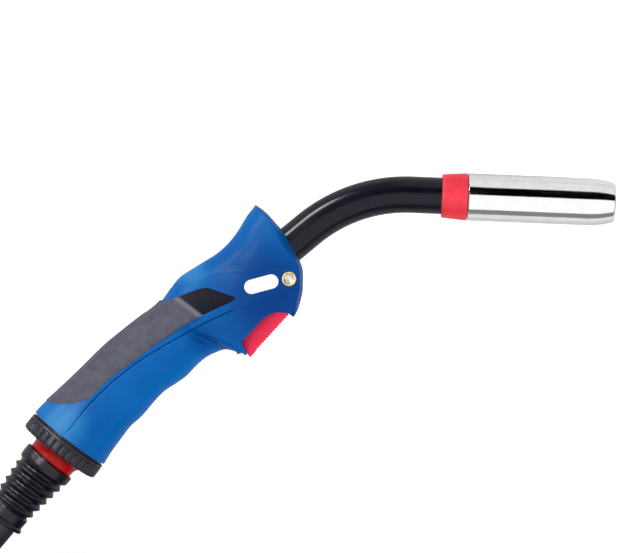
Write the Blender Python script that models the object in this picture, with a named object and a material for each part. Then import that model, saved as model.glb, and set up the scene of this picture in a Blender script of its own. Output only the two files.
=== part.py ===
"""Gas-cooled welding torch: gas nozzle and swan neck, two-shell handle with a trigger switch,
ball-jointed hose end, the hose wound in a coil, and the plug that joins it to its machine.

The torch lies on its side: X runs towards the nozzle, Y towards the back of the handle, Z up.
The origin is under the middle of the torch, on the surface that it lies on.
"""

import math

import bmesh
import bpy
import numpy as np
from mathutils import Matrix, Vector

for old in list(bpy.data.objects):
    bpy.data.objects.remove(old, do_unlink=True)

MM = 0.001
GAP = 0.3 * MM  # between pieces that touch
EDGE = 1.0 * MM  # chamfer of a turned plastic edge
FINE, COARSE = 24, 16  # sides of a large and of a small turned piece
FORM_SIDES, FORM_STEPS = 24, 2  # sides of the handle's sections, and how many to each one listed

# Handle: top and foot of each section (mm), and half its width, from the rear face to past the front
SECTIONS = (
    (-148.9, -72.8, -111.9, -101.1, 23.3),
    (-138.8, -63.0, -105.0, -90.4, 21.5),
    (-128.2, -53.3, -97.0, -80.4, 20.0),
    (-117.6, -42.2, -87.5, -70.7, 19.0),
    (-105.3, -31.5, -77.9, -60.9, 18.5),
    (-91.3, -20.9, -66.1, -52.6, 18.5),
    (-79.0, -11.0, -56.2, -43.4, 19.0),
    (-69.1, 1.0, -43.5, -42.0, 19.5),
    (-56.5, 9.0, -37.0, -44.5, 20.0),
    (-44.0, 19.2, -28.0, -39.5, 20.5),
    (-35.5, 31.5, -18.0, -29.5, 21.0),
    (-30.2, 38.8, -8.0, -20.5, 21.5),
    (-24.0, 50.0, 3.0, -12.0, 22.0),
)
SQUARENESS = 2.3  # power of the sections' rounding: 2 is an ellipse
SHELL_WALL = 2.6 * MM
SEAM = 0.3 * MM  # between the two shells
# Front face of the handle, from the tip of the hand guard down to the lip over the trigger (mm)
FRONT_EDGE = (
    (-30.2, 38.8), (-24.5, 34.6), (-18.6, 28.1), (-10.5, 18.5), (-5.9, 9.0),
    (-4.6, 2.4), (-4.9, -8.6), (-7.0, -17.0), (-10.0, -21.7),
)
# Window that the trigger shows in, from the front lip to the rear guard lip (mm)
WINDOW_EDGE = (
    (-10.0, -21.7), (-11.7, -19.9), (-18.0, -19.4), (-22.8, -21.5), (-27.6, -24.9),
    (-37.5, -34.6), (-33.2, -43.0), (-33.8, -60.0),
)
FRONT_REACH = 90.0  # how far the front cut runs past the handle (mm)

# Soft pads over the back of the handle: their edge on the side, rear to arrow tip and back (mm)
PAD_EDGE = (
    (-142.6, -67.2), (-135.1, -68.5), (-127.7, -67.8), (-119.4, -65.8), (-115.9, -63.2),
    (-107.2, -54.5), (-94.1, -44.9), (-81.9, -35.8), (-66.7, -25.5), (-57.5, -20.6),
    (-52.5, -18.1), (-41.4, -13.4), (-40.7, -11.6), (-42.0, -10.6), (-56.8, -6.0),
    (-59.9, -6.6), (-74.8, -11.9), (-78.5, -13.1), (-80.2, -12.7), (-95.0, -10.0),
    (-150.0, -55.0), (-147.0, -66.0),
)
PAD_THICKNESS = 1.4 * MM

BADGE_CENTRE = (-26.8 * MM, -4.1 * MM)
BADGE_LENGTH, BADGE_WIDTH, BADGE_THICKNESS = 18.6 * MM, 7.7 * MM, 1.0 * MM
BADGE_TURN = math.radians(15)

# Shell screw: hex socket screw in a flanged bushing, with its nut in the far shell
SCREW_CENTRE = (-12.1 * MM, -1.2 * MM)
SCREW_RADIUS, SCREW_HEAD_RADIUS, SCREW_HEAD_HEIGHT = 1.5 * MM, 2.6 * MM, 2.6 * MM
HEX_SOCKET_RADIUS, HEX_SOCKET_DEPTH = 1.7 * MM, 1.6 * MM
BUSHING_FLANGE_RADIUS, BUSHING_FLANGE_HEIGHT = 3.6 * MM, 1.0 * MM
BUSHING_WALL = 0.6 * MM
BUSHING_DEPTH = SCREW_HEAD_HEIGHT + 2 * BUSHING_WALL
NUT_RADIUS, NUT_HEIGHT = 3.2 * MM, 2.4 * MM
BOSS_WALL = 1.5 * MM

# Ball joint of the hose, at the handle's rear
BALL_CENTRE = (-131.5 * MM, -88.4 * MM)
HANDLE_AXIS = math.radians(52.5)
HOSE_AXIS = math.radians(49.7)
BALL_RADIUS = 17.5 * MM
BALL_FRONT = 8.0 * MM
BALL_NECK_RADIUS, BALL_RIM = 13.0 * MM, 0.4 * MM
BALL_NECK_CURVE = ((-9.5 * MM, 0.9 * MM), (-11.0 * MM, 0.2 * MM), (-12.5 * MM, 0.0))
SPIGOT_RADIUS, SPIGOT_END = 11.6 * MM, -26.0 * MM
SEAT_BODY_RADIUS, SEAT_FRONT = 20.3 * MM, 9.0 * MM
SEAT_FLANGE_RADIUS, SEAT_FLANGE_FRONT = 21.6 * MM, 1.5 * MM
SEAT_NECK_END, SEAT_FLANGE_LENGTH = -3.5 * MM, 0.9 * MM
COLLAR_RADIUS, COLLAR_REAR = 23.35 * MM, -8.0 * MM
COLLAR_FLUTES, FLUTE_DEPTH = 24, 0.9 * MM
COLLAR_CHAMFER = 2.0 * MM
SLEEVE_FRONT, SLEEVE_END = -14.6 * MM, -56.0 * MM
SLEEVE_BAND_RADIUS, SLEEVE_CUFF_RADIUS, SLEEVE_BEAD_RADIUS = 15.0 * MM, 11.7 * MM, 12.9 * MM
SLEEVE_BAND_LENGTH, SLEEVE_CUFF_LENGTH, SLEEVE_BEAD = 5.0 * MM, 8.0 * MM, 2.0 * MM
SLEEVE_EDGE = 0.5 * MM
SLEEVE_RIBS, RIB_DEPTH = 5, 1.6 * MM

# Hose
HOSE_RADIUS = 10.0 * MM
HOSE_CLEARANCE = 0.4 * MM

# Swan neck: straight in the handle, one bend, straight in the nozzle seat
NECK_START = (-1.5 * MM, 25.5 * MM)
NECK_HEADING = math.radians(39.5)
NECK_BEND = math.radians(41.8)
NECK_BEND_RADIUS = 82.0 * MM
JACKET_RADIUS, JACKET_WALL = 9.9 * MM, 1.5 * MM
INNER_TUBE_BORE = 3.3 * MM
LINER_RADIUS, LINER_BORE = 3.0 * MM, 1.2 * MM
JACKET_IN_HANDLE, NECK_SEAT = 20.0 * MM, 30.0 * MM
COUPLING_RADIUS, COUPLING_LENGTH, COUPLING_SOCKET = 9.2 * MM, 41.0 * MM, 10.0 * MM
FERRULE_WALL, FERRULE_LENGTH = 1.2 * MM, 24.0 * MM

# Front end, as distances from the end of the neck's bend along the nozzle's axis
INSULATOR_START, INSULATOR_LENGTH = 16.4 * MM, 13.6 * MM
INSULATOR_RADIUS_REAR, INSULATOR_RADIUS_FRONT = 11.6 * MM, 12.8 * MM
NOZZLE_SEAT_LENGTH = 18.0 * MM
NOZZLE_LENGTH, NOZZLE_RADIUS, NOZZLE_WALL = 79.4 * MM, 12.8 * MM, 1.6 * MM
NOZZLE_MOUTH_RADIUS, NOZZLE_TAPER = 10.5 * MM, 14.0 * MM
SPRING_CLIP_WIDTH, SPRING_CLIP_DEPTH = 3.4 * MM, 1.0 * MM
HOLDER_LENGTH, HOLDER_RADIUS = 50.0 * MM, 6.6 * MM
DIFFUSER_LENGTH, DIFFUSER_WALL, DIFFUSER_SETBACK = 12.0 * MM, 2.6 * MM, 2.0 * MM
DIFFUSER_PORTS, PORT_RADIUS = 8, 1.0 * MM
TIP_RADIUS, TIP_LENGTH, TIP_BORE, TIP_SEAT = 4.0 * MM, 40.0 * MM, 0.9 * MM, 8.0 * MM
TIP_NOSE_RADIUS, TIP_NOSE_LENGTH = 2.6 * MM, 9.0 * MM

# Trigger and its switch
PIVOT = (-14.5 * MM, -17.0 * MM)
PIN_RADIUS, PIN_CLEARANCE, PIN_REACH = 1.5 * MM, 0.25 * MM, 12.2 * MM
TRIGGER_HALF_WIDTH, TRIGGER_BOSS_RADIUS = 6.5 * MM, 3.3 * MM
TRIGGER_TRAVEL = math.radians(6)
TRIGGER_FACE = ((-11.7, -20.6), (-29.5, -39.9))  # the finger's face, front to rear (mm)
TRIGGER_TEETH, TOOTH_DEPTH = 9, 0.7
TRIGGER_BACK = ((-32.9, -43.4), (-34.6, -41.2), (-33.4, -33.2), (-18.6, -14.6))  # guard side and back
SLOT_CLEARANCE = 0.5 * MM
SPRING_WIRE, SPRING_TURNS = 0.4 * MM, 2
SPRING_PITCH = 2 * SPRING_WIRE + GAP
SPRING_ROOM = SPRING_PITCH * (SPRING_TURNS + 1)
SWITCH_LENGTH, SWITCH_HEIGHT, SWITCH_HALF_WIDTH = 20.0 * MM, 10.0 * MM, 3.2 * MM
SWITCH_CLEARANCE = 0.4 * MM  # from the pressed trigger's back to the switch
SWITCH_SHIFT = 1.5 * MM  # from the middle of the trigger's back, towards the guard lip
SWITCH_HOLE_PITCH, SWITCH_PEG_RADIUS = 9.5 * MM, 1.1 * MM
PLUNGER_RADIUS, PLUNGER_DEPTH, PLUNGER_BORE_DEPTH = 1.5 * MM, 2.2 * MM, 4.6 * MM
LEAD_RADIUS = 0.8 * MM
LEAD_SPACING = 2.2 * MM
CONNECTOR_LENGTH, CONNECTOR_HEIGHT, CONNECTOR_HALF_WIDTH = 8.0 * MM, 4.0 * MM, 3.5 * MM
CONNECTOR_DISTANCE = 80.0 * MM  # behind the neck's bend, along the hose ferrule

# Coil of hose: two layers of two turns, bound by two straps
COIL_CENTRE = (-113.7 * MM, -275.3 * MM)
COIL_INNER, COIL_OUTER = 80.0 * MM, 120.0 * MM
STRAP_THICKNESS, STRAP_WIDTH = 1.2 * MM, 20.0 * MM
STRAP_BEARINGS = (math.radians(20), math.radians(200))

# Machine plug, as distances from where the hose enters it
PLUG_START = (46.3 * MM, -285.0 * MM)
PLUG_SLEEVE_LENGTH, PLUG_SLEEVE_RADIUS, PLUG_SLEEVE_LIP = 42.0 * MM, 15.0 * MM, 1.2 * MM
PLUG_HOUSING_START, PLUG_HOUSING_END = 34.0 * MM, 90.0 * MM
PLUG_HOUSING_RADIUS, PLUG_HOUSING_WALL, PLUG_HOUSING_TAPER = 20.5 * MM, 2.6 * MM, 4.0 * MM
PLUG_SCREW_AT, PLUG_SCREW_OFFSET, PLUG_SCREW_SINK = 48.0 * MM, 14.6 * MM, 1.5 * MM
PLUG_SCREW_HEAD_RADIUS, PLUG_SCREW_HEAD_HEIGHT = 2.6 * MM, 2.2 * MM
PLUG_HOSE_END = 62.0 * MM
PLUG_BODY_END, PLUG_BODY_RADIUS, PLUG_FLANGE_RADIUS = 106.0 * MM, 17.3 * MM, 21.0 * MM
PLUG_FLANGE_LENGTH = 7.0 * MM
COUPLING_NUT_START, COUPLING_NUT_END = 91.0 * MM, 120.0 * MM
COUPLING_NUT_RADIUS, COUPLING_NUT_WALL = 25.0 * MM, 3.2 * MM
COUPLING_NUT_LUGS, LUG_DEPTH = 10, 1.2 * MM
PLUG_AXIS_HEIGHT = COUPLING_NUT_RADIUS
POWER_PIN_RADIUS, POWER_PIN_LENGTH, POWER_PIN_SEAT = 5.0 * MM, 16.0 * MM, 8.0 * MM
SEAL_WIRE, SEAL_SETBACK = 0.9 * MM, 4.5 * MM
LINER_NUT_RADIUS, LINER_NUT_LENGTH = 3.8 * MM, 3.5 * MM
SIGNAL_PIN_RADIUS, SIGNAL_PIN_OFFSET, SIGNAL_PIN_REACH = 1.5 * MM, 12.5 * MM, 5.0 * MM
SIGNAL_PIN_DEPTH, SIGNAL_PIN_HEAD, SIGNAL_PIN_HEAD_LENGTH = 9.0 * MM, 2.2 * MM, 2.0 * MM
PIN_SPRING_LENGTH, PIN_SPRING_RADIUS, PIN_SPRING_TURNS = 7.0 * MM, 1.5 * MM, 3


# ---- ways of making a shape --------------------------------------------------------------


def mesh_of(build):
    """A mesh from a bmesh that build fills, with its faces turned outwards."""
    shape = bmesh.new()
    build(shape)
    bmesh.ops.recalc_face_normals(shape, faces=shape.faces)
    mesh = bpy.data.meshes.new("shape")
    shape.to_mesh(mesh)
    shape.free()
    return mesh


def skin(shape, rings, closed):
    """Faces between neighbouring rings of vertices, and back to the first ring if closed."""
    pairs = list(zip(rings, rings[1:]))
    if closed:
        pairs.append((rings[-1], rings[0]))
    for first, second in pairs:
        count = max(len(first), len(second))
        for i in range(count):
            j = (i + 1) % count
            corners = [first[i % len(first)], first[j % len(first)]]
            corners += [second[j % len(second)], second[i % len(second)]]
            corners = list(dict.fromkeys(corners))
            if len(corners) > 2:
                shape.faces.new(corners)


def turned(outline, sides=COARSE, radius_at=None):
    """A solid turned about X from (x, radius) points; one that starts on the axis ends on it."""

    def build(shape):
        rings = []
        for x, radius in outline:
            if radius == 0:
                rings.append([shape.verts.new((x, 0, 0))])
                continue
            ring = []
            for k in range(sides):
                angle = math.tau * (k + 0.5) / sides
                reach = radius_at(x, radius, angle) if radius_at else radius
                ring.append(shape.verts.new((x, reach * math.cos(angle), reach * math.sin(angle))))
            rings.append(ring)
        skin(shape, rings, closed=outline[0][1] > 0)

    return mesh_of(build)


def prism(outline, low, high):
    """An outline in the plane of X and Y, from one height to another."""

    def build(shape):
        rings = [[shape.verts.new((x, y, z)) for x, y in outline] for z in (low, high)]
        skin(shape, rings, closed=False)
        for ring in rings:
            shape.faces.new(ring)

    return mesh_of(build)


def frame_prism(outline, hole, low, high):
    """A prism with a hole right through it; both outlines have as many points."""

    def build(shape):
        rings = []
        for edge, z in ((outline, low), (outline, high), (hole, high), (hole, low)):
            rings.append([shape.verts.new((x, y, z)) for x, y in edge])
        skin(shape, rings, closed=True)

    return mesh_of(build)


def lofted(rings):
    """A closed solid through rings of points."""

    def build(shape):
        made = [[shape.verts.new(point) for point in ring] for ring in rings]
        skin(shape, made, closed=False)
        shape.faces.new(made[0])
        shape.faces.new(made[-1])

    return mesh_of(build)


def bored_tube(path, outer, bore, sides=COARSE):
    """A tube along (x, y, heading) places, open at both ends."""

    def build(shape):
        rings = []
        order = [(place, outer) for place in path] + [(place, bore) for place in reversed(path)]
        for (x, y, heading), radius in order:
            ring = []
            for k in range(sides):
                angle = math.tau * k / sides
                side, up = radius * math.cos(angle), radius * math.sin(angle)
                point = (x - side * math.sin(heading), y + side * math.cos(heading), up)
                ring.append(shape.verts.new(point))
            rings.append(ring)
        skin(shape, rings, closed=True)

    return mesh_of(build)


def rod(radius, low, high, centre=(0, 0), sides=16):
    """A round rod along Z."""
    outline = []
    for k in range(sides):
        angle = math.tau * (k + 0.5) / sides
        outline.append((centre[0] + radius * math.cos(angle), centre[1] + radius * math.sin(angle)))
    return prism(outline, low, high)


def combined(mesh, tool, operation="DIFFERENCE"):
    """What a Boolean of two meshes leaves."""
    pair = [bpy.data.objects.new("stock", mesh), bpy.data.objects.new("tool", tool)]
    for item in pair:
        bpy.context.collection.objects.link(item)
    cut = pair[0].modifiers.new("cut", "BOOLEAN")
    cut.operation = operation
    cut.object = pair[1]
    bpy.context.view_layer.update()
    seen = pair[0].evaluated_get(bpy.context.evaluated_depsgraph_get())
    result = bpy.data.meshes.new_from_object(seen)
    for item in pair:
        bpy.data.objects.remove(item, do_unlink=True)
    return result


def moved(mesh, matrix):
    copy = mesh.copy()
    copy.transform(matrix)
    return copy


def metres(outline):
    return [(x * MM, y * MM) for x, y in outline]


def grown(outline, by):
    """A closed outline with each corner moved out along the mean normal of its two sides."""
    points = np.array(outline)
    area = np.sum(points[:, 0] * np.roll(points[:, 1], -1) - np.roll(points[:, 0], -1) * points[:, 1])
    turn = 1.0 if area > 0 else -1.0
    edge = np.roll(points, -1, axis=0) - points
    edge /= np.linalg.norm(edge, axis=1)[:, None]
    normal = turn * np.stack([edge[:, 1], -edge[:, 0]], axis=1)
    before = np.roll(normal, 1, axis=0)
    mean = normal + before
    mean /= np.maximum(1 + np.sum(normal * before, axis=1), 0.4)[:, None]
    return [tuple(point) for point in points + by * mean]


def heading_matrix(place, heading, height=0.0):
    """Local X points along a heading in the plane, from a place."""
    return Matrix.Translation((place[0], place[1], height)) @ Matrix.Rotation(heading, 4, "Z")


# ---- materials, empties and objects ------------------------------------------------------


def material(name, colour, roughness, metallic=0.0):
    made = bpy.data.materials.new(name)
    made.use_nodes = True
    surface = made.node_tree.nodes["Principled BSDF"]
    surface.inputs["Base Color"].default_value = (*colour, 1)
    surface.inputs["Roughness"].default_value = roughness
    surface.inputs["Metallic"].default_value = metallic
    made.diffuse_color = (*colour, 1)
    return made


BLUE = ("moulded_blue", (0.004, 0.075, 0.36), 0.35)
SOFT_GREY = ("soft_grey", (0.07, 0.065, 0.08), 0.7)
BLACK = ("black_plastic", (0.03, 0.03, 0.035), 0.5)
RED = ("red_plastic", (0.62, 0.03, 0.05), 0.4)
HOSE_BLACK = ("hose_rubber", (0.02, 0.02, 0.024), 0.55)
CHROME = ("chrome", (0.75, 0.76, 0.78), 0.12, 1.0)
STEEL = ("steel", (0.5, 0.5, 0.52), 0.3, 1.0)
BRASS = ("brass", (0.78, 0.55, 0.22), 0.3, 1.0)
COPPER = ("copper", (0.8, 0.4, 0.25), 0.3, 1.0)
WHITE = ("white_plastic", (0.8, 0.8, 0.8), 0.4)
CERAMIC = ("pale_ceramic", (0.75, 0.7, 0.6), 0.6)


def empty(name, matrix, parent=None):
    made = bpy.data.objects.new(name, None)
    bpy.context.collection.objects.link(made)
    made.parent = parent
    made.matrix_local = matrix
    return made


def add(name, mesh, look, parent, matrix=None):
    """A named piece with a material of its own, shaded smooth with its edges kept sharp."""
    mesh.name = name
    mesh.materials.clear()
    mesh.materials.append(material(f"{name}_{look[0]}", *look[1:]))
    mesh.shade_smooth()
    mesh.set_sharp_from_angle(angle=math.radians(35))
    made = bpy.data.objects.new(name, mesh)
    bpy.context.collection.objects.link(made)
    made.parent = parent
    if matrix:
        made.matrix_local = matrix
    return made


def add_cord(name, points, radius, look, parent, smoothness=2):
    """A solid round cord through points, with its ends filled."""
    curve = bpy.data.curves.new(name, "CURVE")
    curve.dimensions = "3D"
    curve.bevel_depth = radius
    curve.bevel_resolution = smoothness
    curve.use_fill_caps = True
    spline = curve.splines.new("POLY")
    spline.points.add(len(points) - 1)
    for point, place in zip(spline.points, points):
        point.co = (*place, 1)
    curve.materials.append(material(f"{name}_{look[0]}", *look[1:]))
    made = bpy.data.objects.new(name, curve)
    bpy.context.collection.objects.link(made)
    made.parent = parent
    return made


def smooth_route(points, spacing):
    """Evenly spaced points on a smooth curve through a route's own points."""
    way = [Vector(point) for point in points]
    way = [2 * way[0] - way[1], *way, 2 * way[-1] - way[-2]]
    fine = []
    for before, start, end, after in zip(way, way[1:], way[2:], way[3:]):
        for k in range(24):
            t = k / 24
            fine.append(0.5 * (
                2 * start + (end - before) * t
                + (2 * before - 5 * start + 4 * end - after) * t ** 2
                + (3 * start - before - 3 * end + after) * t ** 3
            ))
    fine.append(way[-2])
    lengths = [0.0]
    for start, end in zip(fine, fine[1:]):
        lengths.append(lengths[-1] + (end - start).length)
    count = max(2, round(lengths[-1] / spacing) + 1)
    even = []
    for k in range(count):
        wanted = lengths[-1] * k / (count - 1)
        after = next(i for i, length in enumerate(lengths) if length >= wanted - 1e-9)
        if after == 0:
            even.append(fine[0])
            continue
        share = (wanted - lengths[after - 1]) / (lengths[after] - lengths[after - 1])
        even.append(fine[after - 1].lerp(fine[after], share))
    return even


assembly = empty("assembly", Matrix())
torch = empty("torch", Matrix.Translation((0, 0, COLLAR_RADIUS)), assembly)


# ---- handle ------------------------------------------------------------------------------


def section_at(station):
    """Top, foot and half width of the handle's section, at a number of stations from the rear."""
    table = np.array(SECTIONS) * MM
    table = np.vstack([2 * table[0] - table[1], table, 2 * table[-1] - table[-2]])
    base = min(int(station), len(SECTIONS) - 2)
    t = station - base
    before, start, end, after = table[base : base + 4]
    row = 0.5 * (
        2 * start + (end - before) * t
        + (2 * before - 5 * start + 4 * end - after) * t ** 2
        + (3 * start - before - 3 * end + after) * t ** 3
    )
    return Vector(row[0:2]), Vector(row[2:4]), row[4]


def section_ring(station, inset, sides):
    top, foot, half_width = section_at(station)
    centre, along = (top + foot) / 2, (top - foot).normalized()
    half_height = (top - foot).length / 2 - inset
    ring = []
    for k in range(sides):
        angle = math.tau * k / sides
        rise, out = math.cos(angle), math.sin(angle)
        rise = math.copysign(abs(rise) ** (2 / SQUARENESS), rise) * half_height
        out = math.copysign(abs(out) ** (2 / SQUARENESS), out) * (half_width - inset)
        ring.append(Vector((centre.x + along.x * rise, centre.y + along.y * rise, out)))
    return ring


def handle_form(inset, sides=FORM_SIDES, steps=FORM_STEPS, run_out=0.0):
    """The handle's form, set in from its surface, and run out past its rear face."""
    stations = np.linspace(0, len(SECTIONS) - 1, (len(SECTIONS) - 1) * steps + 1)
    rings = [section_ring(station, inset, sides) for station in stations]
    if run_out:
        back = Vector((-math.cos(HANDLE_AXIS), -math.sin(HANDLE_AXIS), 0)) * run_out
        rings.insert(0, [point + back for point in rings[0]])
    return lofted(rings)


def surface_height(x, y):
    """How far the handle's surface stands from the mid-plane over a point."""
    best = None
    for station in np.linspace(0, len(SECTIONS) - 1, 600):
        top, foot, half_width = section_at(station)
        along = (top - foot).normalized()
        offset = Vector((x, y)) - (top + foot) / 2
        miss = abs(offset.x * along.y - offset.y * along.x)
        if best is None or miss < best[0]:
            share = min(1.0, abs(offset.dot(along)) / ((top - foot).length / 2))
            best = (miss, half_width * (1 - share ** SQUARENESS) ** (1 / SQUARENESS))
    return best[1]


def front_cut(by=0.0):
    """The space in front of the handle's front face, grown towards the handle."""
    outline = [*FRONT_EDGE, (FRONT_EDGE[-1][0], -FRONT_REACH), (FRONT_REACH, -FRONT_REACH)]
    outline += [(FRONT_REACH, FRONT_REACH), (FRONT_EDGE[0][0] - 4, FRONT_REACH)]
    return prism(grown(metres(outline), by), -FRONT_REACH * MM, FRONT_REACH * MM)


def window_cut(by=0.0):
    """The space of the trigger's window, open towards the finger."""
    outline = [*WINDOW_EDGE, (FRONT_REACH / 2, -FRONT_REACH), (FRONT_REACH / 2, WINDOW_EDGE[0][1])]
    return prism(grown(metres(outline), by), -FRONT_REACH * MM, FRONT_REACH * MM)


def about_pin(outline):
    """An outline in the trigger's own frame, about its pin, closed round the pin's boss."""
    own = [(x * MM - PIVOT[0], y * MM - PIVOT[1]) for x, y in outline]
    for angle in (110, 70, 30, -10):
        turn = math.radians(angle)
        own.append((TRIGGER_BOSS_RADIUS * math.cos(turn), TRIGGER_BOSS_RADIUS * math.sin(turn)))
    return own


def trigger_outline():
    """The trigger's toothed face, guard side, back and pin boss."""
    start, end = (Vector(point) for point in TRIGGER_FACE)
    face = end - start
    out = Vector((-face.y, face.x)).normalized()  # towards the finger
    outline = []
    for k in range(TRIGGER_TEETH):
        for share, depth in ((0.0, TOOTH_DEPTH), (0.25, 0.0), (0.6, 0.0)):
            place = start + face * (k + share) / TRIGGER_TEETH - out * depth
            outline.append((place.x, place.y))
    return about_pin(outline + list(TRIGGER_BACK))


def trigger_slot():
    """The space that the trigger sweeps inside the shells, with its clearance."""
    space = None
    outline = grown(about_pin(TRIGGER_FACE + TRIGGER_BACK), SLOT_CLEARANCE)
    half = TRIGGER_HALF_WIDTH + SLOT_CLEARANCE
    for share in (0.0, 0.5, 1.0):
        turn = Matrix.Rotation(-TRIGGER_TRAVEL * share, 4, "Z")
        sweep = moved(prism(outline, -half, half), Matrix.Translation((*PIVOT, 0)) @ turn)
        space = combined(space, sweep, "UNION") if space else sweep
    return space


def trigger_back_line(press):
    """Start and end of the trigger's back, with the trigger pressed by an angle."""
    pivot = Vector(PIVOT)
    turn = Matrix.Rotation(-press, 2)
    return [pivot + turn @ (Vector(point) * MM - pivot) for point in TRIGGER_BACK[2:4]]


def switch_frame():
    """Local X runs along the pressed trigger's back, and Y points away from it, from the switch's face."""
    start, end = trigger_back_line(TRIGGER_TRAVEL)
    along = (end - start).normalized()
    back = Vector((-along.y, along.x))
    place = (start + end) / 2 + back * SWITCH_CLEARANCE - along * SWITCH_SHIFT
    return Matrix.Translation((*place, 0)) @ Matrix.Rotation(math.atan2(along.y, along.x), 4, "Z")


def plunger_reach():
    """From the switch's face to the back of the trigger at rest, along the plunger."""
    start, end = (SWITCH.inverted() @ point.to_3d() for point in trigger_back_line(0))
    share = start.x / (start.x - end.x)
    return -(start.y + (end.y - start.y) * share)


def switch_block(by=0.0):
    """The switch's case, grown by a clearance."""
    side = SWITCH_LENGTH / 2 + by
    outline = [(-side, -by), (side, -by), (side, SWITCH_HEIGHT + by), (-side, SWITCH_HEIGHT + by)]
    return prism(outline, -SWITCH_HALF_WIDTH - by, SWITCH_HALF_WIDTH + by)


SWITCH = switch_frame()
PLUNGER_REACH = plunger_reach()
SCREW_TOP = surface_height(*SCREW_CENTRE)
BADGE_TOP = surface_height(*BADGE_CENTRE)


def pill(length, width, steps=6):
    """A round-ended outline about its middle."""
    radius, reach = width / 2, length / 2 - width / 2
    outline = []
    for end in (1, -1):
        for k in range(steps + 1):
            angle = math.pi * (k / steps - 0.5) + (0 if end > 0 else math.pi)
            outline.append((end * reach + radius * math.cos(angle), radius * math.sin(angle)))
    return outline


def set_in(outline, low, high, surface, depth):
    """What an outline takes from the handle's surface, down to a depth."""
    core = handle_form(depth)
    piece = combined(prism(outline, low, high), surface, "INTERSECT")
    return combined(piece, core)


def handle_pieces():
    form = handle_form(0.0)
    surface = combined(form, front_cut())
    cavity = combined(handle_form(SHELL_WALL, 16, 1, run_out=6 * MM), front_cut(SHELL_WALL))
    cavity = combined(cavity, window_cut(SHELL_WALL))
    shell = combined(combined(surface, window_cut()), cavity)

    # Bosses for the shell screw and the trigger pin, and pegs for the switch
    bosses = rod(SCREW_HEAD_RADIUS + BUSHING_WALL + BOSS_WALL, -SCREW_TOP, SCREW_TOP, SCREW_CENTRE)
    bosses = combined(bosses, surface, "INTERSECT")
    shell = combined(shell, bosses, "UNION")
    pin_boss = rod(PIN_RADIUS + BOSS_WALL, -2 * PIN_REACH, 2 * PIN_REACH, PIVOT)
    shell = combined(shell, combined(pin_boss, surface, "INTERSECT"), "UNION")
    shell = combined(shell, moved(switch_block(GAP), SWITCH))
    half = PLUNGER_RADIUS + GAP
    plunger_room = prism([(-half, -PLUNGER_REACH), (half, -PLUNGER_REACH), (half, GAP), (-half, GAP)],
                         -half, half)
    shell = combined(shell, moved(plunger_room, SWITCH))
    for side in (-1, 1):
        place = SWITCH @ Vector((side * SWITCH_HOLE_PITCH / 2, SWITCH_HEIGHT / 2, 0))
        peg = rod(SWITCH_PEG_RADIUS, -2 * PIN_REACH, -SEAM, (place.x, place.y), 12)
        shell = combined(shell, combined(peg, surface, "INTERSECT"), "UNION")

    # Slot of the trigger, with the spring's room beside it, holes, neck hole and ball socket
    shell = combined(shell, trigger_slot())
    half = TRIGGER_HALF_WIDTH + SLOT_CLEARANCE
    spring_room = rod(TRIGGER_BOSS_RADIUS + SLOT_CLEARANCE, half - GAP, half + SPRING_ROOM, PIVOT)
    shell = combined(shell, spring_room)
    shell = combined(shell, rod(PIN_RADIUS + GAP, -PIN_REACH - GAP, PIN_REACH + GAP, PIVOT))
    bore = JACKET_RADIUS + GAP
    neck_hole = moved(turned([(-NECK_SEAT, 0), (-NECK_SEAT, bore), (NECK_SEAT, bore), (NECK_SEAT, 0)], FINE),
                      heading_matrix(NECK_START, NECK_HEADING))
    shell = combined(shell, neck_hole)
    socket_radius = SEAT_BODY_RADIUS + GAP
    socket = turned([(-SLEEVE_BAND_RADIUS, 0), (-SLEEVE_BAND_RADIUS, socket_radius),
                     (SEAT_FRONT + GAP, socket_radius), (SEAT_FRONT + GAP, 0)], FINE)
    shell = combined(shell, moved(socket, heading_matrix(BALL_CENTRE, HANDLE_AXIS)))

    # Screw seat from the top, and the nut's pocket from the far side
    for radius, low, high in (
        (SCREW_RADIUS + GAP, -SCREW_TOP - GAP, SCREW_TOP),
        (SCREW_HEAD_RADIUS + BUSHING_WALL + 2 * GAP, SCREW_TOP - BUSHING_DEPTH - GAP, 2 * SCREW_TOP),
        (BUSHING_FLANGE_RADIUS + GAP, SCREW_TOP - BUSHING_FLANGE_HEIGHT - GAP, 2 * SCREW_TOP),
        (NUT_RADIUS + GAP, -2 * SCREW_TOP, -SCREW_TOP + NUT_HEIGHT + 2 * GAP),
    ):
        shell = combined(shell, rod(radius, low, high, SCREW_CENTRE))

    # Recesses of the pads and the badge
    pad_outline = metres(PAD_EDGE)
    reach = FRONT_REACH * MM
    pad = set_in(pad_outline, -reach, reach, surface, PAD_THICKNESS)
    pad_room = combined(prism(grown(pad_outline, GAP), -reach, reach),
                        handle_form(PAD_THICKNESS + GAP))
    shell = combined(shell, pad_room)
    badge_place = Matrix.Translation((*BADGE_CENTRE, 0)) @ Matrix.Rotation(BADGE_TURN, 4, "Z")
    badge = prism(pill(BADGE_LENGTH, BADGE_WIDTH), BADGE_TOP - BADGE_THICKNESS, BADGE_TOP)
    badge_room = prism(grown(pill(BADGE_LENGTH, BADGE_WIDTH), GAP),
                       BADGE_TOP - BADGE_THICKNESS - GAP, 2 * BADGE_TOP)
    shell = combined(shell, moved(badge_room, badge_place))

    for name, side in (("right", 1), ("left", -1)):
        near = (SEAM / 2, reach) if side > 0 else (-reach, -SEAM / 2)
        half_space = prism([(-2 * reach, -2 * reach), (reach, -2 * reach), (reach, reach),
                            (-2 * reach, reach)], *near)
        add(f"handle_shell_{name}", combined(shell, half_space, "INTERSECT"), BLUE, torch)
        add(f"grip_pad_{name}", combined(pad, half_space, "INTERSECT"), SOFT_GREY, torch)
    add("blank_badge", badge, WHITE, torch, badge_place)



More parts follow.
